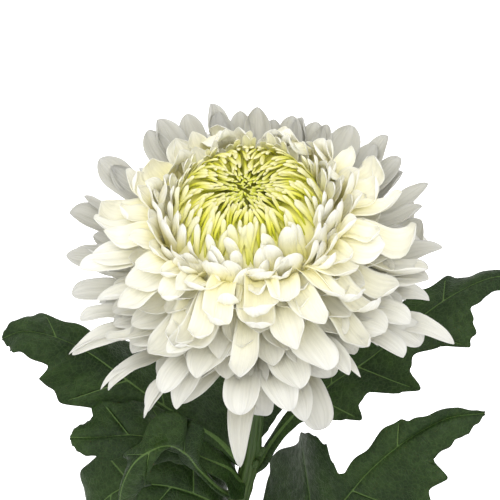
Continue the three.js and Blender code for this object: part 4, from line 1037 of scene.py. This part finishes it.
class FOOTBALL_OT_petals(bpy.types.Operator):
    """The white bloom: the incurved ring and the spreading layers"""
    bl_idname = "football.petals"
    bl_label = "White petals"

    def execute(self, context):
        bloom = context.scene.bloom
        white = petal_material(bloom, False)
        place = bloom_matrix(bloom)
        thick = bloom.petal_thickness / MM
        ring = [p for p in bun_florets(bloom.seed) if p["d"] >= HEART_TIPS]
        rays = ray_petals(bloom.seed + 1)
        upper = [p for p in rays if p["d"] < UPPER_END]
        middle = [p for p in rays if UPPER_END <= p["d"] < MIDDLE_END]
        lower = [p for p in rays if p["d"] >= MIDDLE_END]
        sets = {"ring_petals": (ring, (16, 10)), "upper_petals": (upper, (22, 12)),
                "middle_petals": (middle, (22, 12)), "lower_petals": (lower, (24, 14))}
        for name, (rows, grid) in sets.items():
            V, F, values = petal_shells(rows, grid, thick, tipped=True)
            finish_piece(piece(name, V, F, values, place), white, "petal", "petals")
        return {'FINISHED'}


class FOOTBALL_OT_heart(bpy.types.Operator):
    """The yellow-green florets round the eye, on their low dome"""
    bl_idname = "football.heart"
    bl_label = "Heart"

    def execute(self, context):
        bloom = context.scene.bloom
        material = petal_material(bloom, True)
        place = bloom_matrix(bloom)
        rows = [p for p in bun_florets(bloom.seed) if p["d"] < HEART_TIPS]
        V, F, values = petal_shells(rows, (11, 4), bloom.petal_thickness / MM * 0.9, tipped=True)
        finish_piece(piece("heart_florets", V, F, values, place), material, "heart", "heart")
        dome = spun("heart_dome", smooth_profile(HEART_DOME, 1.0), 72)
        me = dome.data
        P = settled(np.array([v.co for v in me.vertices]) / MM)
        me.vertices.foreach_set('co', (P * MM).reshape(-1))
        radius = np.hypot(P[:, 0], P[:, 1])
        # The dome shows only in the gaps between the florets: it is painted dark near the eye and lighter
        # outwards, painted shade in those gaps.
        age, gap_shade = 4 + 22 * smooth(12, 29, radius), 0.5 + 0.22 * smooth(5, 16, radius)
        for key, value in (("along", gap_shade), ("across", 0.0), ("place", age), ("ray", 0.0), ("chance", 0.5)):
            value = np.broadcast_to(value, len(P)).astype(np.float32)
            me.attributes.new(key, 'FLOAT', 'POINT').data.foreach_set('value', value)
        me.transform(place)
        finish_piece(dome, material, "heart", "heart")
        return {'FINISHED'}


class FOOTBALL_OT_stem(bpy.types.Operator):
    """The ribbed stem with its calyx and the small side buds"""
    bl_idname = "football.stem"
    bl_label = "Stem"

    def execute(self, context):
        stem = context.scene.stem
        material = stem_material(stem)
        heights = [o["line"][0][2] + CALYX[2] for o in LEAVES.values()]
        V, F, values = stem_bar(stem.radius / MM, heights)
        finish_piece(piece("stem_bar", V, F, values), material, "stem", "stem")
        place = bloom_matrix(context.scene.bloom)
        rows = [scale for row in CALYX_ROWS for scale in scale_row(*row)]
        scales_piece("calyx_bracts", rows, (10, 8), BRACT_THICKNESS, place, material)
        cup = spun("calyx_cup", smooth_profile(CALYX_CUP, 0.8), 64)
        cup.data.transform(place)
        finish_piece(cup, material, "stem", "stem")
        for i, (z, a, size) in enumerate(BUDS):
            a = math.radians(a)
            c = stem_at(z)
            d = stem.radius / MM + size * 0.3
            scales = scale_row(5, 0, (size * 0.3, -size), (size * 0.12, size * 1.35), 20, 110, size * 1.25)
            scales += scale_row(5, 0.5, (size * 0.3, -size * 1.1), (size * 0.5, size * 0.75), 10, 100,
                                size * 1.2)
            turn = Matrix.Rotation(a, 4, 'Z') @ Matrix.Rotation(BUD_LEAN, 4, 'Y')
            spot = Vector((c[0] + d * math.cos(a), c[1] + d * math.sin(a), z)) * MM
            bud = Matrix.Translation(spot) @ turn
            scales_piece(f"side_bud_{i + 1}", scales, (10, 6), SCALE_THICKNESS, bud, material)
        return {'FINISHED'}


class FOOTBALL_OT_leaves(bpy.types.Operator):
    """The seven lobed leaves"""
    bl_idname = "football.leaves"
    bl_label = "Leaves"

    def execute(self, context):
        leaf = context.scene.leaf
        material = leaf_material(leaf)
        for name, o in LEAVES.items():
            V, F, values = leaf_shell(o, leaf.thickness / MM, context.scene.stem.radius / MM)
            finish_piece(piece("visual_" + name, V, F, values), material, "leaf", name)
        return {'FINISHED'}


class FOOTBALL_OT_vase(bpy.types.Operator):
    """The clear bottle vase and the water in it"""
    bl_idname = "football.vase"
    bl_label = "Vase and water"

    def execute(self, context):
        vase = context.scene.vase
        inside = smooth_profile(VASE_INSIDE, VASE_STEP)
        profile = smooth_profile(VASE_OUTSIDE, VASE_STEP) + inside
        glass = glass_material("vase glass", vase.tint, 1.5, 0.02)
        finish_piece(spun("vase_glass", profile, VASE_SIDES), glass, "glass", "vase")
        level = vase.water_level / MM
        body = [(r + WATER_OVERLAP, z) for r, z in reversed(inside) if z < level and r > 0.5]
        body.insert(0, VASE_INSIDE[-1])
        top = np.interp(level, [p[1] for p in body[1:]], [p[0] for p in body[1:]])
        body += [(top, level + 0.8), (top - 0.8, level + 0.2), (top - 2.4, level), (0, level)]
        water = glass_material("water", WATER_TINT, 1.33, 0.0)
        finish_piece(spun("water_body", body, VASE_SIDES), water, "water", "water")
        return {'FINISHED'}


class FOOTBALL_OT_stage(bpy.types.Operator):
    """The floor, the lights, the world and the camera"""
    bl_idname = "football.stage"
    bl_label = "Stage"

    def execute(self, context):
        stage, scene = context.scene.stage, context.scene
        deselect()
        bpy.ops.mesh.primitive_plane_add(size=8, location=(0, 0, 0))
        floor = context.object
        floor.name = "floor"
        m, g, shader = new_material("floor", Roughness=0.9, Base_Color=(*stage.floor, 1),
                                    Emission_Color=(1, 1, 1, 1))
        path = g.node('ShaderNodeLightPath', out=None)
        g.put(shader.inputs['Emission Strength'], g.maths('MAXIMUM', path.outputs['Is Camera Ray'],
                                                          path.outputs['Is Transmission Ray']))
        floor.data.materials.append(m)
        world = bpy.data.worlds.new("studio")
        world.use_nodes = True
        around = Graph(world.node_tree)
        sky = world.node_tree.nodes['Background']
        sky.inputs[0].default_value = (1, 1, 1, 1)
        seen = around.node('ShaderNodeLightPath', out='Is Camera Ray')
        around.put(sky.inputs[1], around.maths('MAXIMUM', seen, AROUND))
        scene.world = world
        e = stage.elevation
        back = Vector((0, -math.cos(e), math.sin(e)))
        right, up = Vector((1, 0, 0)), Vector((0, math.sin(e), math.cos(e)))
        widest = bloom_matrix(scene.bloom) @ Vector((0, 0, WIDEST * MM))
        pixel = stage.view / FRAME
        aim = widest + right * (FRAME / 2 - BLOOM_AT[0]) * pixel + up * (BLOOM_AT[1] - FRAME / 2) * pixel
        for name, way, size, power in LIGHTS:
            light = bpy.data.lights.new(name, 'AREA')
            light.size, light.energy = size, power
            ob = bpy.data.objects.new(name, light)
            scene.collection.objects.link(ob)
            ob.location = widest + Vector(way)
            ob.rotation_euler = (-Vector(way)).to_track_quat('-Z', 'Y').to_euler()
        camera = bpy.data.cameras.new("camera")
        camera.sensor_width = SENSOR
        camera.lens = SENSOR * stage.distance / stage.view
        camera.clip_start, camera.clip_end = 0.01, 30
        ob = bpy.data.objects.new("camera", camera)
        scene.collection.objects.link(ob)
        ob.location = aim + back * stage.distance
        ob.rotation_euler = (-back).to_track_quat('-Z', 'Y').to_euler()
        scene.camera = ob
        scene.view_settings.view_transform = 'Standard'
        return {'FINISHED'}


OPERATORS = (FOOTBALL_OT_petals, FOOTBALL_OT_heart, FOOTBALL_OT_stem, FOOTBALL_OT_leaves, FOOTBALL_OT_vase,
             FOOTBALL_OT_stage)
SETTINGS = {"bloom": BloomSettings, "leaf": LeafSettings, "stem": StemSettings, "vase": VaseSettings,
            "stage": StageSettings}


class FOOTBALL_PT_panel(bpy.types.Panel):
    """Sizes, colours and steps of the football mum"""
    bl_idname = "FOOTBALL_PT_panel"
    bl_label = "Football mum"
    bl_space_type = 'VIEW_3D'
    bl_region_type = 'UI'
    bl_category = "Football mum"

    def draw(self, context):
        for key, kind in SETTINGS.items():
            box = self.layout.box()
            box.label(text=key.capitalize())
            for name in kind.__annotations__:
                box.prop(getattr(context.scene, key), name)
        for operator in OPERATORS:
            self.layout.operator(operator.bl_idname)


def register():
    """Adds the settings, the operators and the panel."""
    for kind in (*SETTINGS.values(), *OPERATORS, FOOTBALL_PT_panel):
        bpy.utils.register_class(kind)
    for key, kind in SETTINGS.items():
        setattr(bpy.types.Scene, key, PointerProperty(type=kind))


def unregister():
    """Takes them out again."""
    for key in SETTINGS:
        delattr(bpy.types.Scene, key)
    for kind in reversed((*SETTINGS.values(), *OPERATORS, FOOTBALL_PT_panel)):
        bpy.utils.unregister_class(kind)


def main():
    """Builds every piece and the stage."""
    register()
    bpy.ops.football.petals()
    bpy.ops.football.heart()
    bpy.ops.football.stem()
    bpy.ops.football.leaves()
    bpy.ops.football.vase()
    bpy.ops.football.stage()


if __name__ == "__main__":
    main()
